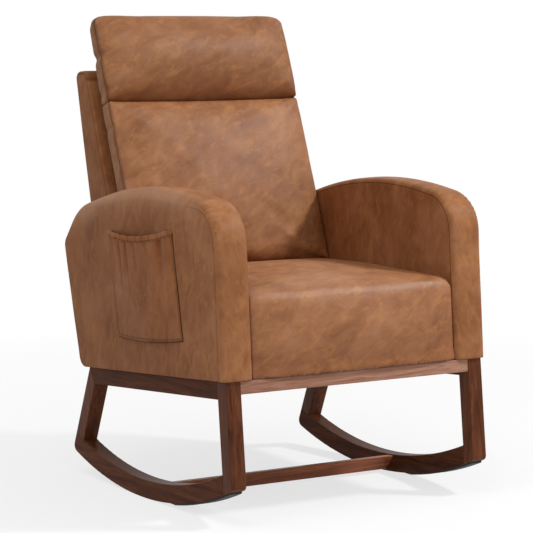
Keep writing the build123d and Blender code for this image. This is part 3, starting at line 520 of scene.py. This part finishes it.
def frontGathers(rings):
    # short puckers along the band's outer seam, round the front curve: a wave of the angle about the
    # curve's centre, fading across the band; moves the rings and returns how deep each point lies
    spokes = rings[..., 1:] - np.array(gathers["centre"])
    radius = np.linalg.norm(spokes, axis=-1)
    angle = np.arctan2(spokes[..., 1], -spokes[..., 0])
    sway, swayCount = gathers["sway"]
    wave = 0.5 + 0.5 * np.sin(2 * np.pi * gathers["count"] * (angle + sway * np.sin(swayCount * angle)))
    beside = bell(np.maximum(arm["outer"] - gathers["seamGap"] - rings[..., 0], 0), gathers["reach"])
    near = past(radius, *gathers["hubFade"]) ** 2
    deep = wave * beside * near * bell(angle - gathers["turn"], gathers["spread"])
    deep = deep * (rings[..., 0] > arm["inner"] + gathers["innerGap"])
    rings[..., 1:] -= gathers["depth"] * deep[..., None] * spokes / radius[..., None]
    return deep


def makeArm(label, side):
    rings, seam = armRings()
    middle = (arm["inner"] + arm["outer"]) / 2
    lift = past(rings[..., 2], *arm["waveFade"])  # nothing moves off the wooden base
    wave = ripple(rings, arm["waveSize"], arm["waveSeed"])
    rings[..., 0] += arm["wave"] * wave * lift * (rings[..., 0] > middle + arm["waveEdge"])
    gather = frontGathers(rings)
    points, faces = closedLoft(mirrored(rings, side))
    x, y, z = np.abs(points[:, 0]), points[:, 1], points[:, 2]
    inside = past(arm["inner"] + arm["innerEdge"], x, arm["innerEdge"])
    outside = past(x, arm["outer"] - arm["outerEdge"], arm["outerEdge"])

    # painted shade on the side panels: heaviest on the inner panel, which lies in the arm's shadow, and
    # growing towards the rear
    def shade(panel):
        least, more = arm[panel + "Shade"]
        return least + more * past(y, *arm[panel + "Fade"])

    crease = inside * shade("inner") + outside * shade("outer")
    # the outer top roll is painted lighter, part wear and part painted highlight where the light falls on it;
    # painted shade lies in the hollows of the front puckers
    crest = np.interp(y, *arm["crestLine"]) - arm["wearAndHighlightDepth"]
    top = past(z, crest, arm["wearAndHighlightRun"]) ** 2 * past(x, middle, arm["wearAndHighlightAcross"]) * past(y, *arm["wearAndHighlightFade"])
    crease = np.clip(crease * (1 - top) + gathers["shade"] * withPoles(gather), 0, 1)
    marks = {"seam": withPoles(seam), "crease": crease, "worn": arm["worn"] * top}
    piece = meshPiece("arm_" + label, toFloor(points), faces, armLeather, marks)
    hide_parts("arm_cover_" + label, "arm_foam_" + label)


for label, side in sides.items():
    makeArm(label, side)
print("arms made")

# Padded pieces that are inflated: remeshed, blown up a little with their seams held, and capped

puffing = {"pressure": 4.0, "steps": 20, "levels": (0.25, 0.5, 0.75, 1.0), "slack": 0.125}
clothLook = {
    "quality": 6, "mass": 0.35, "tension_stiffness": 22, "compression_stiffness": 22, "shear_stiffness": 8,
    "bending_stiffness": 2.0, "use_pressure": True, "uniform_pressure_force": puffing["pressure"],
}


def swell(blank, even, cap, held):
    # a cloth run with the seams held; no point moves further than the cap
    rest = meshArrays(even)
    group = blank.vertex_groups.new(name="seams")
    weights = held(rest * 1000)
    for level in puffing["levels"]:
        chosen = np.nonzero(np.abs(weights - level) <= puffing["slack"])[0]
        group.add(chosen.tolist(), level, "REPLACE")
    cloth = blank.modifiers.new("skin", "CLOTH")
    for key, value in clothLook.items():
        setattr(cloth.settings, key, value)
    cloth.settings.effector_weights.gravity = 0
    cloth.settings.vertex_group_mass = "seams"
    cloth.collision_settings.use_collision = False
    cloth.point_cache.frame_start, cloth.point_cache.frame_end = 1, puffing["steps"]
    for step in range(1, puffing["steps"] + 1):
        bpy.context.scene.frame_set(step)
    swollen = meshArrays(evaluated(blank))
    blank.modifiers.clear()
    move = swollen - rest
    far = np.linalg.norm(move, axis=1, keepdims=True)
    moved = rest + move * np.minimum(1, cap / 1000 / np.maximum(far, 1e-9))
    even.vertices.foreach_set("co", moved.astype(np.float32).ravel())
    even.update()
    bpy.context.scene.frame_set(1)


def puff(rings, voxel, cap, held):
    # rings in millimetres; returns points in millimetres and faces of the swollen skin
    points, faces = closedLoft(rings)
    mesh = bpy.data.meshes.new("blank")
    mesh.from_pydata(points / 1000, [], faces)
    blank = linked("blank", mesh)
    remesh = blank.modifiers.new("even", "REMESH")
    remesh.mode, remesh.voxel_size = "VOXEL", voxel / 1000
    even = evaluated(blank)
    blank.modifiers.clear()
    blank.data = even
    swell(blank, even, cap, held)
    finer = blank.modifiers.new("finer", "SUBSURF")
    finer.levels = finer.render_levels = 1
    fine = evaluated(blank)
    bpy.data.objects.remove(blank)
    return meshArrays(fine) * 1000, [tuple(polygon.vertices) for polygon in fine.polygons]


# a held or pulled place is a gap and a width
seat = {
    "half": 256.0, "trim": 0.8, "front": -5.0, "rear": 470.0, "frontTop": 190.0, "rearTop": 224.0,
    "crown": 10.5, "bulge": 9.5, "roll": 30.0, "draw": 9.0, "foot": 1.0, "inset": 4.0,
    "voxel": 7.0, "cap": 6.0, "heldSide": (4, 6), "heldFoot": 8, "heldRear": 20, "stretch": 1.6,
    "hemIn": 0.5, "hemTop": (34, 24), "hemReach": (40, 20), "footPull": (7, 9), "footDrop": 0.6,
    "wave": 1.2, "waveSize": 170, "waveSeed": 11, "waveEdge": 30, "waveFade": (120, 60),
    "shade": 0.5, "shadeTop": 110, "shadeReach": 60, "rearFade": (400, 70), "seam": (0.7, 2.5),
}


def seatOutline(spread):
    # the seat from the side: a bowed front, a rolled edge, a bowed top, drawn in beside the arms
    draw = seat["draw"] * spread ** 6 + seat["inset"] * (1 - spread ** 6)
    swelling = 1 - 0.9 * spread ** 4
    front, rear, foot, roll = seat["front"] + draw, seat["rear"], seat["foot"], seat["roll"]
    frontTop = seat["frontTop"] - draw
    toe, brow = np.array([front, foot]), np.array([front, frontTop - roll])
    lip, heelTop = np.array([front + roll, frontTop]), np.array([rear, seat["rearTop"] - draw])
    heel = np.array([rear, foot])
    return np.concatenate([
        bow(toe, brow, np.array([-seat["bulge"] * swelling, 0]), 30),
        bend(np.array([front + roll, frontTop - roll]), brow, lip, 16),
        bow(lip, heelTop, np.array([0, seat["crown"] * swelling]), 60),
        straight(heelTop, heel, 30), straight(heel, toe, 60)])


def makeSeat():
    half = seat["half"] - seat["trim"]
    shares = np.concatenate([np.linspace(-1, -0.9, 6), np.linspace(-0.85, 0.85, 35), np.linspace(0.9, 1, 6)])
    rings = np.stack([ringAt(share * half, seatOutline(abs(share))) for share in shares])

    def held(points):
        gap, width = seat["heldSide"]
        edges = bell(np.maximum(half - gap - np.abs(points[:, 0]), 0), width)
        foot = bell(points[:, 2] - seat["foot"], seat["heldFoot"])
        return np.maximum(edges, np.maximum(foot, points[:, 1] > seat["rear"] - seat["heldRear"]))

    points, faces = puff(rings, seat["voxel"], seat["cap"], held)
    x, y, z = points.T
    x[:] = np.clip(x * (1 + seat["stretch"] / half), -seat["half"], seat["half"])
    hem = seat["front"] + seat["draw"] * np.abs(x / half) ** 6 - seat["hemIn"]
    (hemTop, topRun), (hemReach, reachRun) = seat["hemTop"], seat["hemReach"]
    low = past(hemTop, z, topRun) * past(hemReach, y, reachRun)
    # the cover is drawn tight under the front board
    y[:] = np.where(low > 0, np.minimum(y, y + low * (hem - y)), y)
    pull, pullWidth = seat["footPull"]
    z[:] = np.maximum(z - pull * bell(z - seat["foot"], pullWidth), seat["foot"] - seat["footDrop"])
    inside, upper = past(half, np.abs(x), seat["waveEdge"]), past(z, *seat["waveFade"])
    z += seat["wave"] * ripple(points, seat["waveSize"], seat["waveSeed"]) * inside * upper
    # painted shade low on the front, where the edge turns under, and towards the rear under the back cushion;
    # a painted shadow line along the foot, where the leather meets the rail
    crease = seat["shade"] * past(seat["shadeTop"], z, seat["shadeTop"]) * (y < seat["shadeReach"])
    crease = crease + seat["shade"] * past(y, *seat["rearFade"])
    dark, seamWidth = seat["seam"]
    marks = {"seam": dark * bell(z - seat["foot"], seamWidth), "crease": np.clip(crease, 0, 1)}
    piece = meshPiece("seat_cushion", toFloor(points), faces, seatLeather, marks)
    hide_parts("seat_cover", "seat_foam")


makeSeat()
print("seat made")

# Back cushion and headrest, drawn upright as depth and height and then reclined

back = {
    "half": 253.5, "trim": 1.0, "footY": 466.8, "footZ": 226.0, "recline": 16.5, "depth": 56.0, "edge": 4.0,
    "lift": -13.0, "seam": 390.0, "band": 50.0, "crown": 22.0, "rolls": (8.0, 12.0), "inset": 5.0,
    "voxel": 5.0, "cap": 8.0,
}
head = {
    "height": 208.0, "band": 40.0, "crown": 25.0, "topDepth": 50.0, "rolls": (34.0, 18.0), "corner": 12.0,
    "rearCorner": 28.0, "gap": 0.3,
}
# what both cushions share: held seams, groove, puckers, waves and shade
sewing = {
    "heldGap": 3, "heldFront": (2, 5), "heldRear": (2, 6), "heldFace": 8, "heldJoint": (14, 16), "spill": 1.5,
    "riseRun": 30, "seamGap": 4, "seamBehind": 9, "grooveWidth": 3.2, "grooveIn": 1.8, "grooveBack": 1.0,
    "frontRun": 20, "puckerWidth": 9, "puckerLimit": 80, "fanSlope": 0.35, "fanWidth": (5, 0.12),
    "fanDepth": 0.6, "waves": ((0.9, 120), (0.45, 46)), "dimPower": 1.2, "armShade": 0.8,
    "armWidth": 24, "armTop": (160, 70), "seamWidth": 1.9, "seamDark": 0.85,
}


def reclined(points):
    # local x, depth and height to the level chair
    s, c = heading(back["recline"])
    x, depth, up = points[..., 0], points[..., 1], points[..., 2]
    return place(x, back["footY"] + depth * c + up * s, back["footZ"] - depth * s + up * c)


def cushionOutline(spread, form):
    # a cushion from the side: flat rear, rolled foot and top, a bowed front that flattens at its side bands
    inset = back["inset"]
    pull = math.sqrt(1 - spread ** 8)
    rears = [band + (depth - band) * pull - inset * 0.4 for band, depth in zip(form["bands"], form["depths"])]
    front = back["edge"] * spread ** 12 + inset * (1 - 0.6 * spread ** 8)
    foot, top = form["foot"] + inset * 0.1, form["top"] - form["corner"] * spread ** 24
    rearTop = form["top"] - form["rearCorner"] * spread ** 14
    low, high = (roll * (1 - 0.95 * hold * spread ** 14) for roll, hold in zip(form["rolls"], form["tight"]))
    sole, toe = np.array([front + low, foot]), np.array([front, foot + low])
    brow, crest = np.array([front, top - high]), np.array([front + high, top])
    nape = np.array([rears[1], rearTop])
    heel = np.array([rears[0], foot + form["slope"] * (rears[0] - sole[0])])
    crown = form["crown"] * (1 - 0.95 * spread ** 4)
    return np.concatenate([
        straight(heel, sole, 10), bend(np.array([front + low, foot + low]), sole, toe, 10),
        bow(toe, brow, np.array([-crown, 0]), 60),
        bend(np.array([front + high, top - high]), brow, crest, 12),
        straight(crest, nape, 10), straight(nape, heel, 40)])


def makeCushion(name, form, finish, covers):
    half = back["half"] - back["trim"]
    edges = np.linspace(0.94, 1, 8)
    shares = np.concatenate([-edges[::-1], np.linspace(-0.92, 0.92, 41), edges])
    rings = np.stack([ringAt(share * half, cushionOutline(abs(share), form)) for share in shares])

    def held(points):
        (frontGap, frontWidth), (rearGap, rearWidth) = sewing["heldFront"], sewing["heldRear"]
        jointHigh, jointWide = sewing["heldJoint"]
        aside = np.maximum(half - sewing["heldGap"] - np.abs(points[:, 0]), 0)
        frontSeam = bell(np.hypot(aside, points[:, 1] - back["inset"] - back["edge"] - frontGap), frontWidth)
        rearSeam = bell(np.hypot(aside, points[:, 1] - form["bands"][1] + rearGap), rearWidth)
        rearFace = points[:, 1] > back["depth"] - sewing["heldFace"]
        joint = bell(points[:, 2] - back["seam"], jointHigh) * bell(aside, jointWide)
        return np.maximum(np.maximum(frontSeam, rearSeam), np.maximum(rearFace, joint))

    points, faces = puff(rings, back["voxel"], back["cap"], held)
    x, depth, up = points.T
    x[:] = np.clip(x, -back["half"] - sewing["spill"], back["half"] + sewing["spill"])
    depth[:] = np.minimum(depth, back["depth"])
    up += form["rise"] * past(up, form["top"] - sewing["riseRun"], sewing["riseRun"]) * (1 - (x / half) ** 6)
    aside = np.maximum(back["half"] - sewing["seamGap"] - np.abs(x), 0)
    seamLine = np.hypot(aside, depth - back["edge"] - sewing["seamBehind"])
    groove = bell(seamLine, sewing["grooveWidth"])
    x -= np.sign(x) * sewing["grooveIn"] * groove
    depth += sewing["grooveBack"] * groove
    front = past(back["depth"] * 0.5, depth, sewing["frontRun"])
    fanStart, fanGrowth = sewing["fanWidth"]
    for height, reach, deep in form["puckers"]:
        # a pucker pulls the side seam in, with short creases running from it on to the front
        near = bell(up - height, sewing["puckerWidth"]) * (x < 0)
        edge = np.minimum(half - np.abs(x), sewing["puckerLimit"])
        x += deep * near * bell(edge, sewing["puckerWidth"])
        across = half + x
        fan = np.abs(up - height - sewing["fanSlope"] * across) / (fanStart + fanGrowth * across)
        depth += sewing["fanDepth"] * deep * bell(fan, 1) * bell(across, reach) * front * (x < 0)
    waves = [size * ripple(points, length, form["seed"] + index)
             for index, (size, length) in enumerate(sewing["waves"])]
    depth += sum(waves) * front
    # painted shade towards the foot of each cushion's front, a painted shadow beside the arms low on the back
    # cushion, and painted shadow lines along the side seams
    crease = past(form["foot"] + form["dim"], up, form["dim"]) ** sewing["dimPower"] * front
    armTop, armRun = sewing["armTop"]
    besideArms = sewing["armShade"] * bell(half - np.abs(x), sewing["armWidth"]) * past(armTop, up, armRun)
    marks = {"seam": bell(seamLine, sewing["seamWidth"]) * sewing["seamDark"],
             "crease": np.maximum(crease, besideArms)}
    piece = meshPiece(name, toFloor(reclined(points)), faces, finish, marks)
    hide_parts(*covers)


# a pucker is a height, a reach across the front and a depth
backForm = {
    "foot": back["lift"], "slope": math.tan(math.radians(back["recline"])), "top": back["seam"],
    "crown": back["crown"], "bands": (back["band"], back["band"]), "depths": (back["depth"], back["depth"]),
    "corner": 0.0, "rearCorner": 0.0, "rolls": back["rolls"], "tight": (1, 1), "rise": 0.0, "dim": 46.0,
    "seed": 21, "puckers": ((330, 60, 2.5),),
}
headForm = {
    "foot": back["seam"] + head["gap"], "slope": 0.0, "top": back["seam"] + head["height"],
    "crown": head["crown"], "bands": (back["band"], head["band"]),
    "depths": (back["depth"], head["topDepth"]), "corner": head["corner"], "rearCorner": head["rearCorner"],
    "rolls": head["rolls"], "tight": (1, 0), "rise": 3.5, "dim": 62.0,
    "seed": 31, "puckers": ((500, 70, 5.0), (415, 60, 2.5)),
}
makeCushion("back_cushion", backForm, backLeather, ("back_cushion_cover", "back_cushion_foam"))
makeCushion("headrest", headForm, headLeather, ("headrest_cover", "headrest_foam"))
print("back cushion and headrest made")

# Back shell: a wedge with a band over its front, top and rear, and a panel on each side

shell = {
    "half": 256.0, "front": 548.0, "topZ": 672.0, "topRear": 742.0, "footRear": 636.0, "foot": 4.0,
    "topRound": 17.0, "roundLoss": 8, "edgeRound": 6.0, "stand": 85.3, "pillow": 1.0, "pillowPower": 4,
    "seamDepth": 1.0, "seam": 0.75, "shade": 0.3,
    "wave": 1.4, "waveSize": 160, "waveSeed": 41, "waveFade": (30, 60), "waveBehind": 640,
    "topSeam": 21.0, "foldBehind": 40, "foldWidth": 1.8, "foldDepth": 1.2, "foldEdge": 1,
}


def insetCorners(corners, inset):
    # each corner moves in so that both its sides move in by the inset
    ways = [unit(b - a) for a, b in zip(corners, corners[1:] + corners[:1])]
    inward = [np.array([way[1], -way[0]]) for way in ways]
    return [corner + inset * np.linalg.solve(np.stack([inward[index - 1], inward[index]]), np.ones(2))
            for index, corner in enumerate(corners)]


def roundCorner(before, corner, after, radius):
    # centre, start and end of the arc that touches both sides of a corner
    a, b = unit(before - corner), unit(after - corner)
    half = math.acos(a @ b) / 2
    reach = radius / math.tan(half)
    return corner + unit(a + b) * radius / math.sin(half), corner + a * reach, corner + b * reach


def shellOutline(inset):
    # the wedge from the side: upright foot, reclined front, level top with two rounds, leaning rear
    recline, backward = heading(back["recline"]), heading(back["recline"] + 90)
    start = np.array([back["footY"], back["footZ"]]) + backward * shell["stand"]
    knee = start + recline * ((shell["front"] - start[0]) / recline[0])
    brow = start + recline * ((shell["topZ"] - start[1]) / recline[1])
    toe, heel = np.array([shell["front"], shell["foot"]]), np.array([shell["footRear"], shell["foot"]])
    rear = np.array([shell["topRear"], shell["topZ"]])
    toe, knee, brow, rear, heel = insetCorners([toe, knee, brow, rear, heel], inset)
    radius = shell["topRound"] - min(inset, shell["roundLoss"])
    first, second = roundCorner(knee, brow, rear, radius), roundCorner(brow, rear, heel, radius)
    return np.concatenate([
        straight(toe, knee, 30), straight(knee, first[1], 60), bend(*first, 10),
        straight(first[2], second[1], 16), bend(*second, 14), straight(second[2], heel, 80),
        straight(heel, toe, 14)])


def makeShell():
    half, edgeRound = shell["half"], shell["edgeRound"]
    edge, line = shellOutline(edgeRound), shellOutline(0)
    centre = edge.mean(0)
    panel = np.concatenate([[0.03], np.linspace(0.1, 0.92, 14), [0.95, 0.97, 0.982, 0.99]])
    pillow = shell["pillow"] * (1 - panel ** shell["pillowPower"])
    ends = [ringAt(half + rise, centre + (edge - centre) * share) for rise, share in zip(pillow, panel)]
    ends.append(ringAt(half - shell["seamDepth"], edge))
    for turn in np.linspace(0, np.pi / 2, 6)[1:]:
        turned = shellOutline(edgeRound * (1 - math.sin(turn)))
        ends.append(ringAt(half - edgeRound * (1 - math.cos(turn)), turned))
    across = [ringAt(x, line) for x in np.linspace(1, -1, 31)[1:-1] * (half - edgeRound)]
    rings = np.stack(ends + across + [mirrored(ring, -1) for ring in ends[::-1]])
    sewn = np.zeros(len(rings))
    sewn[[len(panel), -1 - len(panel)]] = shell["seam"]
    wave = shell["wave"] * ripple(rings, shell["waveSize"], shell["waveSeed"])
    rings[..., 1] += wave * past(rings[..., 2], *shell["waveFade"]) * (rings[..., 1] > shell["waveBehind"])
    points, faces = closedLoft(rings)
    x, y, z = points.T
    fold = bell(z - shell["topZ"] + shell["topSeam"], shell["foldWidth"])
    fold = fold * (y < shell["topRear"] - shell["foldBehind"]) * (np.abs(x) < half - shell["foldEdge"])
    y += shell["foldDepth"] * fold
    # painted shadow lines along the side seams and the top fold, and an even painted shade over the whole
    # shell
    marks = {"seam": np.maximum(withPoles(np.repeat(sewn, rings.shape[1])), shell["seam"] * fold),
             "crease": np.full(len(points), shell["shade"])}
    piece = meshPiece("back_shell", toFloor(points), faces, shellLeather, marks)
    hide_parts("shell_cover", "shell_foam")


makeShell()
print("shell made")

# Side pockets: a leather sheet sewn on three sides, gathered by an elastic hem at its mouth

pocket = {
    "front": 142.0, "width": 284.0, "foot": 78.0, "height": 234.0, "lean": math.tan(math.radians(6.8)),
    "sag": 15.0, "footBow": 7.0, "bulge": (3.0, 10.0, 13.0), "leather": 1.6, "edgeRun": 14,
    "folds": 6, "foldDepth": 4.2, "foldStart": (0.25, 0.3), "foldRun": 0.6, "foldPower": 1.4, "waver": 0.8,
    "stitchIn": 6, "stitchWidth": 1.6, "stitchDepth": 0.9, "stitchDark": 0.5, "rimDark": 0.9,
    "rimWidth": (1.2, 2.0), "shade": (0.3, 0.7),
    "hem": 13.0, "hemThick": 2.5, "tuck": 0.6, "gathers": 13, "pinch": 0.36, "stretch": 0.05,
    "hemOut": 0.4, "hemEnds": (60, 0.02), "squash": 0.7, "hemSeam": (0.72, 0.1, 0.6),
    "hemShade": (0.25, 0.35), "hemPole": 0.3,
}


def pocketSurface(along, up):
    # along runs 0 to 1 from front to rear, up 0 to 1 from the foot to the mouth; the pouch is a lens that
    # deepens upwards, its foot and mouth bow down, and folds grow towards the gathered mouth; returns the
    # points and how deep each lies in a fold
    lens = 4 * along * (1 - along)
    bulge = np.interp(up, (0, 0.5, 1), pocket["bulge"])
    height = up * pocket["height"] - pocket["sag"] * lens * up - pocket["footBow"] * lens * (1 - up) ** 2
    edge = np.minimum(1, np.minimum(along, 1 - along) * pocket["edgeRun"])
    drift = 0.09 * np.sin(6 * along + 1) + 0.03 * up * np.sin(11 * along)
    turns = 2 * np.pi * pocket["folds"] * (along + drift)
    fold = np.sin(turns) * (0.7 + 0.3 * np.sin(8 * along + 1))
    least, more = pocket["foldStart"]
    start = least + more * np.abs(np.sin(turns / 2 + 1))
    reach = past(up, start, pocket["foldRun"]) ** pocket["foldPower"]
    x = arm["outer"] + arm["pillow"] + pocket["leather"] + bulge * lens
    x = x + pocket["foldDepth"] * fold * reach * edge
    x = x + pocket["waver"] * np.sin(6 * up + 3 * along) * lens * edge
    y = pocket["front"] + along * pocket["width"] + height * pocket["lean"]
    return place(x, y, pocket["foot"] + height), np.clip(-fold, 0, 1) * reach * edge


def makePocket(label, side):
    mouth = 1 - pocket["tuck"] * pocket["hem"] / pocket["height"]
    along, up = np.meshgrid(np.linspace(0, 1, 141), np.linspace(0, 1, 101) * mouth, indexing="ij")
    surface, valley = pocketSurface(along, up)
    rim = np.minimum(np.minimum(along, 1 - along) * pocket["width"], up * pocket["height"])
    stitched = bell(rim - pocket["stitchIn"], pocket["stitchWidth"])
    surface[..., 0] -= pocket["stitchDepth"] * stitched
    points = toFloor(mirrored(surface.reshape(-1, 3), side))
    index = np.arange(along.size).reshape(along.shape)
    quads = np.stack([index[:-1, :-1], index[1:, :-1], index[1:, 1:], index[:-1, 1:]], -1).reshape(-1, 4)
    quads = quads if side > 0 else quads[:, ::-1]
    # painted shadow lines along the stitching and the rim, widest along the front edge, where the pocket
    # stands off the panel; painted shade over the whole pocket, deepest in the folds
    (rimLeast, rimMore), (least, more) = pocket["rimWidth"], pocket["shade"]
    rimLine = pocket["rimDark"] * bell(rim, rimLeast + rimMore * (along < 0.5))
    marks = {"seam": np.maximum(pocket["stitchDark"] * stitched, rimLine).ravel(),
             "crease": np.clip(least + more * valley, 0, 1).ravel()}
    piece = meshPiece("pocket_" + label, points, quads.tolist(), pocketLeather, marks)
    wall = piece.modifiers.new("wall", "SOLIDIFY")
    wall.thickness, wall.offset = pocket["leather"] / 1000, -1
    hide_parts("side_pocket_" + label)


def makeHem(label, side):
    # a flat tube carried along the mouth, its wall pinched in and out by the gathers
    along = np.linspace(0, 1, 361)
    turn = np.linspace(0, 2 * np.pi, 21)[:-1]
    path = pocketSurface(along, np.full_like(along, 1 - 0.5 * pocket["hem"] / pocket["height"]))[0][:, None]
    gather = np.sin(2 * np.pi * pocket["gathers"] * (along + 0.02 * np.sin(11 * along)))
    thick = pocket["hemThick"] * (1 + pocket["pinch"] * gather)
    tall = pocket["hem"] / 2 * (1 + pocket["stretch"] * np.sin(2 * np.pi * pocket["gathers"] * along + 0.8))
    endRun, endLeast = pocket["hemEnds"]
    ends = np.sqrt(np.clip(np.minimum(along, 1 - along) * endRun, endLeast, 1))
    squash = np.sign(np.sin(turn)) * np.abs(np.sin(turn)) ** pocket["squash"]
    x = path[..., 0] + (thick * ends)[:, None] * np.cos(turn) + pocket["hemOut"]
    z = path[..., 2] + (tall * ends)[:, None] * squash
    y = path[..., 1] + (z - path[..., 2]) * pocket["lean"]
    points, faces = closedLoft(mirrored(place(x, y, z), side))
    # a painted shadow line along the hem's lower seam, and painted shade where the gathers pinch in
    seamAt, seamWidth, dark = pocket["hemSeam"]
    least, more = pocket["hemShade"]
    shade = np.repeat(least + more * np.clip(-gather, 0, 1), len(turn))
    marks = {"seam": dark * withPoles(np.tile(bell(squash + seamAt, seamWidth), len(along))),
             "crease": withPoles(shade, pocket["hemPole"])}
    piece = meshPiece("hem_" + label, toFloor(points), faces, pocketLeather, marks)
    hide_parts("pocket_hem_" + label)


for label, side in sides.items():
    makePocket(label, side)
    makeHem(label, side)
print("pockets made")

# Floor, light and camera, in metres on the floor

stageLook = {
    "half": 9.0, "paper": (0.85, 0.88), "near": 0.72, "far": 1.0, "start": 0.4, "reach": 2.6, "world": 0.31,
}
lamps = {
    "keyLamp": {"spot": (2.3, -1.8, 3.2), "aim": (0, 0, 0.5), "size": 0.5, "power": 118},
    "topLamp": {"spot": (-1.3, -0.6, 3.3), "aim": (0, -0.1, 0.5), "size": 2.2, "power": 38},
    "fillLamp": {"spot": (-2.4, -3.6, 1.6), "aim": (0, 0, 0.5), "size": 2.2, "power": 30},
}
view = {
    "spot": (-2.5774, -4.1529, 1.0092), "aim": (-0.168475, -0.28951, 0.519), "sensor": 36, "lens": 148.33,
}


def makeStage():
    mesh = bpy.data.meshes.new("floor")
    half = stageLook["half"]
    corners = [(-half, -half, 0), (half, -half, 0), (half, half, 0), (-half, half, 0)]
    mesh.from_pydata(corners, [], [(0, 1, 2, 3)])
    floor = linked("floor", mesh)
    finish = Finish("floorPaper", Roughness=0.9)
    fibre = finish.noise(finish.coords(), 40, 3, 0.5)
    greys = [(level, level, level, 1) for level in stageLook["paper"]]
    finish.set("Base Color", finish.ramp(fibre, [(0.3, greys[0]), (0.7, greys[1])]))
    away = finish.add("ShaderNodeVectorMath", {"operation": "LENGTH"}, {0: finish.coords()}, output="Value")
    share = finish.add("ShaderNodeMapRange", values={
        "Value": away, "From Min": stageLook["start"], "From Max": stageLook["reach"],
        "To Min": stageLook["near"], "To Max": stageLook["far"]})
    glow = finish.add("ShaderNodeEmission", values={"Color": (1, 1, 1, 1), "Strength": 1.0})
    mixed = finish.add("ShaderNodeMixShader", values={
        0: finish.seenRay() * share, 1: Wire(finish.tree, finish.shader.outputs[0]), 2: glow})
    finish.tree.links.new(mixed.socket, finish.tree.nodes["Material Output"].inputs["Surface"])
    mesh.materials.append(finish.material)


def makeWorld():
    world = bpy.data.worlds.new("studio")
    bpy.context.scene.world = world
    world.use_nodes = True
    tree = world.node_tree
    ground = tree.nodes["Background"]
    ground.inputs["Color"].default_value = (1, 1, 1, 1)
    strength = NodeTree(tree).seenRay() * (1 - stageLook["world"]) + stageLook["world"]
    tree.links.new(strength.socket, ground.inputs["Strength"])


def pointed(thing, spot, aim):
    # set down at a spot, looking at the aim
    thing.location = spot
    thing.rotation_euler = (Vector(aim) - Vector(spot)).to_track_quat("-Z", "Y").to_euler()
    return thing


def makeLamp(name, spot, aim, size, power):
    data = bpy.data.lights.new(name, "AREA")
    data.shape, data.size, data.energy = "DISK", size, power
    pointed(linked(name, data), spot, aim)


def makeCamera():
    data = bpy.data.cameras.new("view")
    data.sensor_width, data.lens = view["sensor"], view["lens"]
    bpy.context.scene.camera = pointed(linked("view", data), view["spot"], view["aim"])


makeStage()
makeWorld()
for name, lamp in lamps.items():
    makeLamp(name, **lamp)
makeCamera()
bpy.context.scene.view_settings.view_transform = "Standard"
print("stage made")
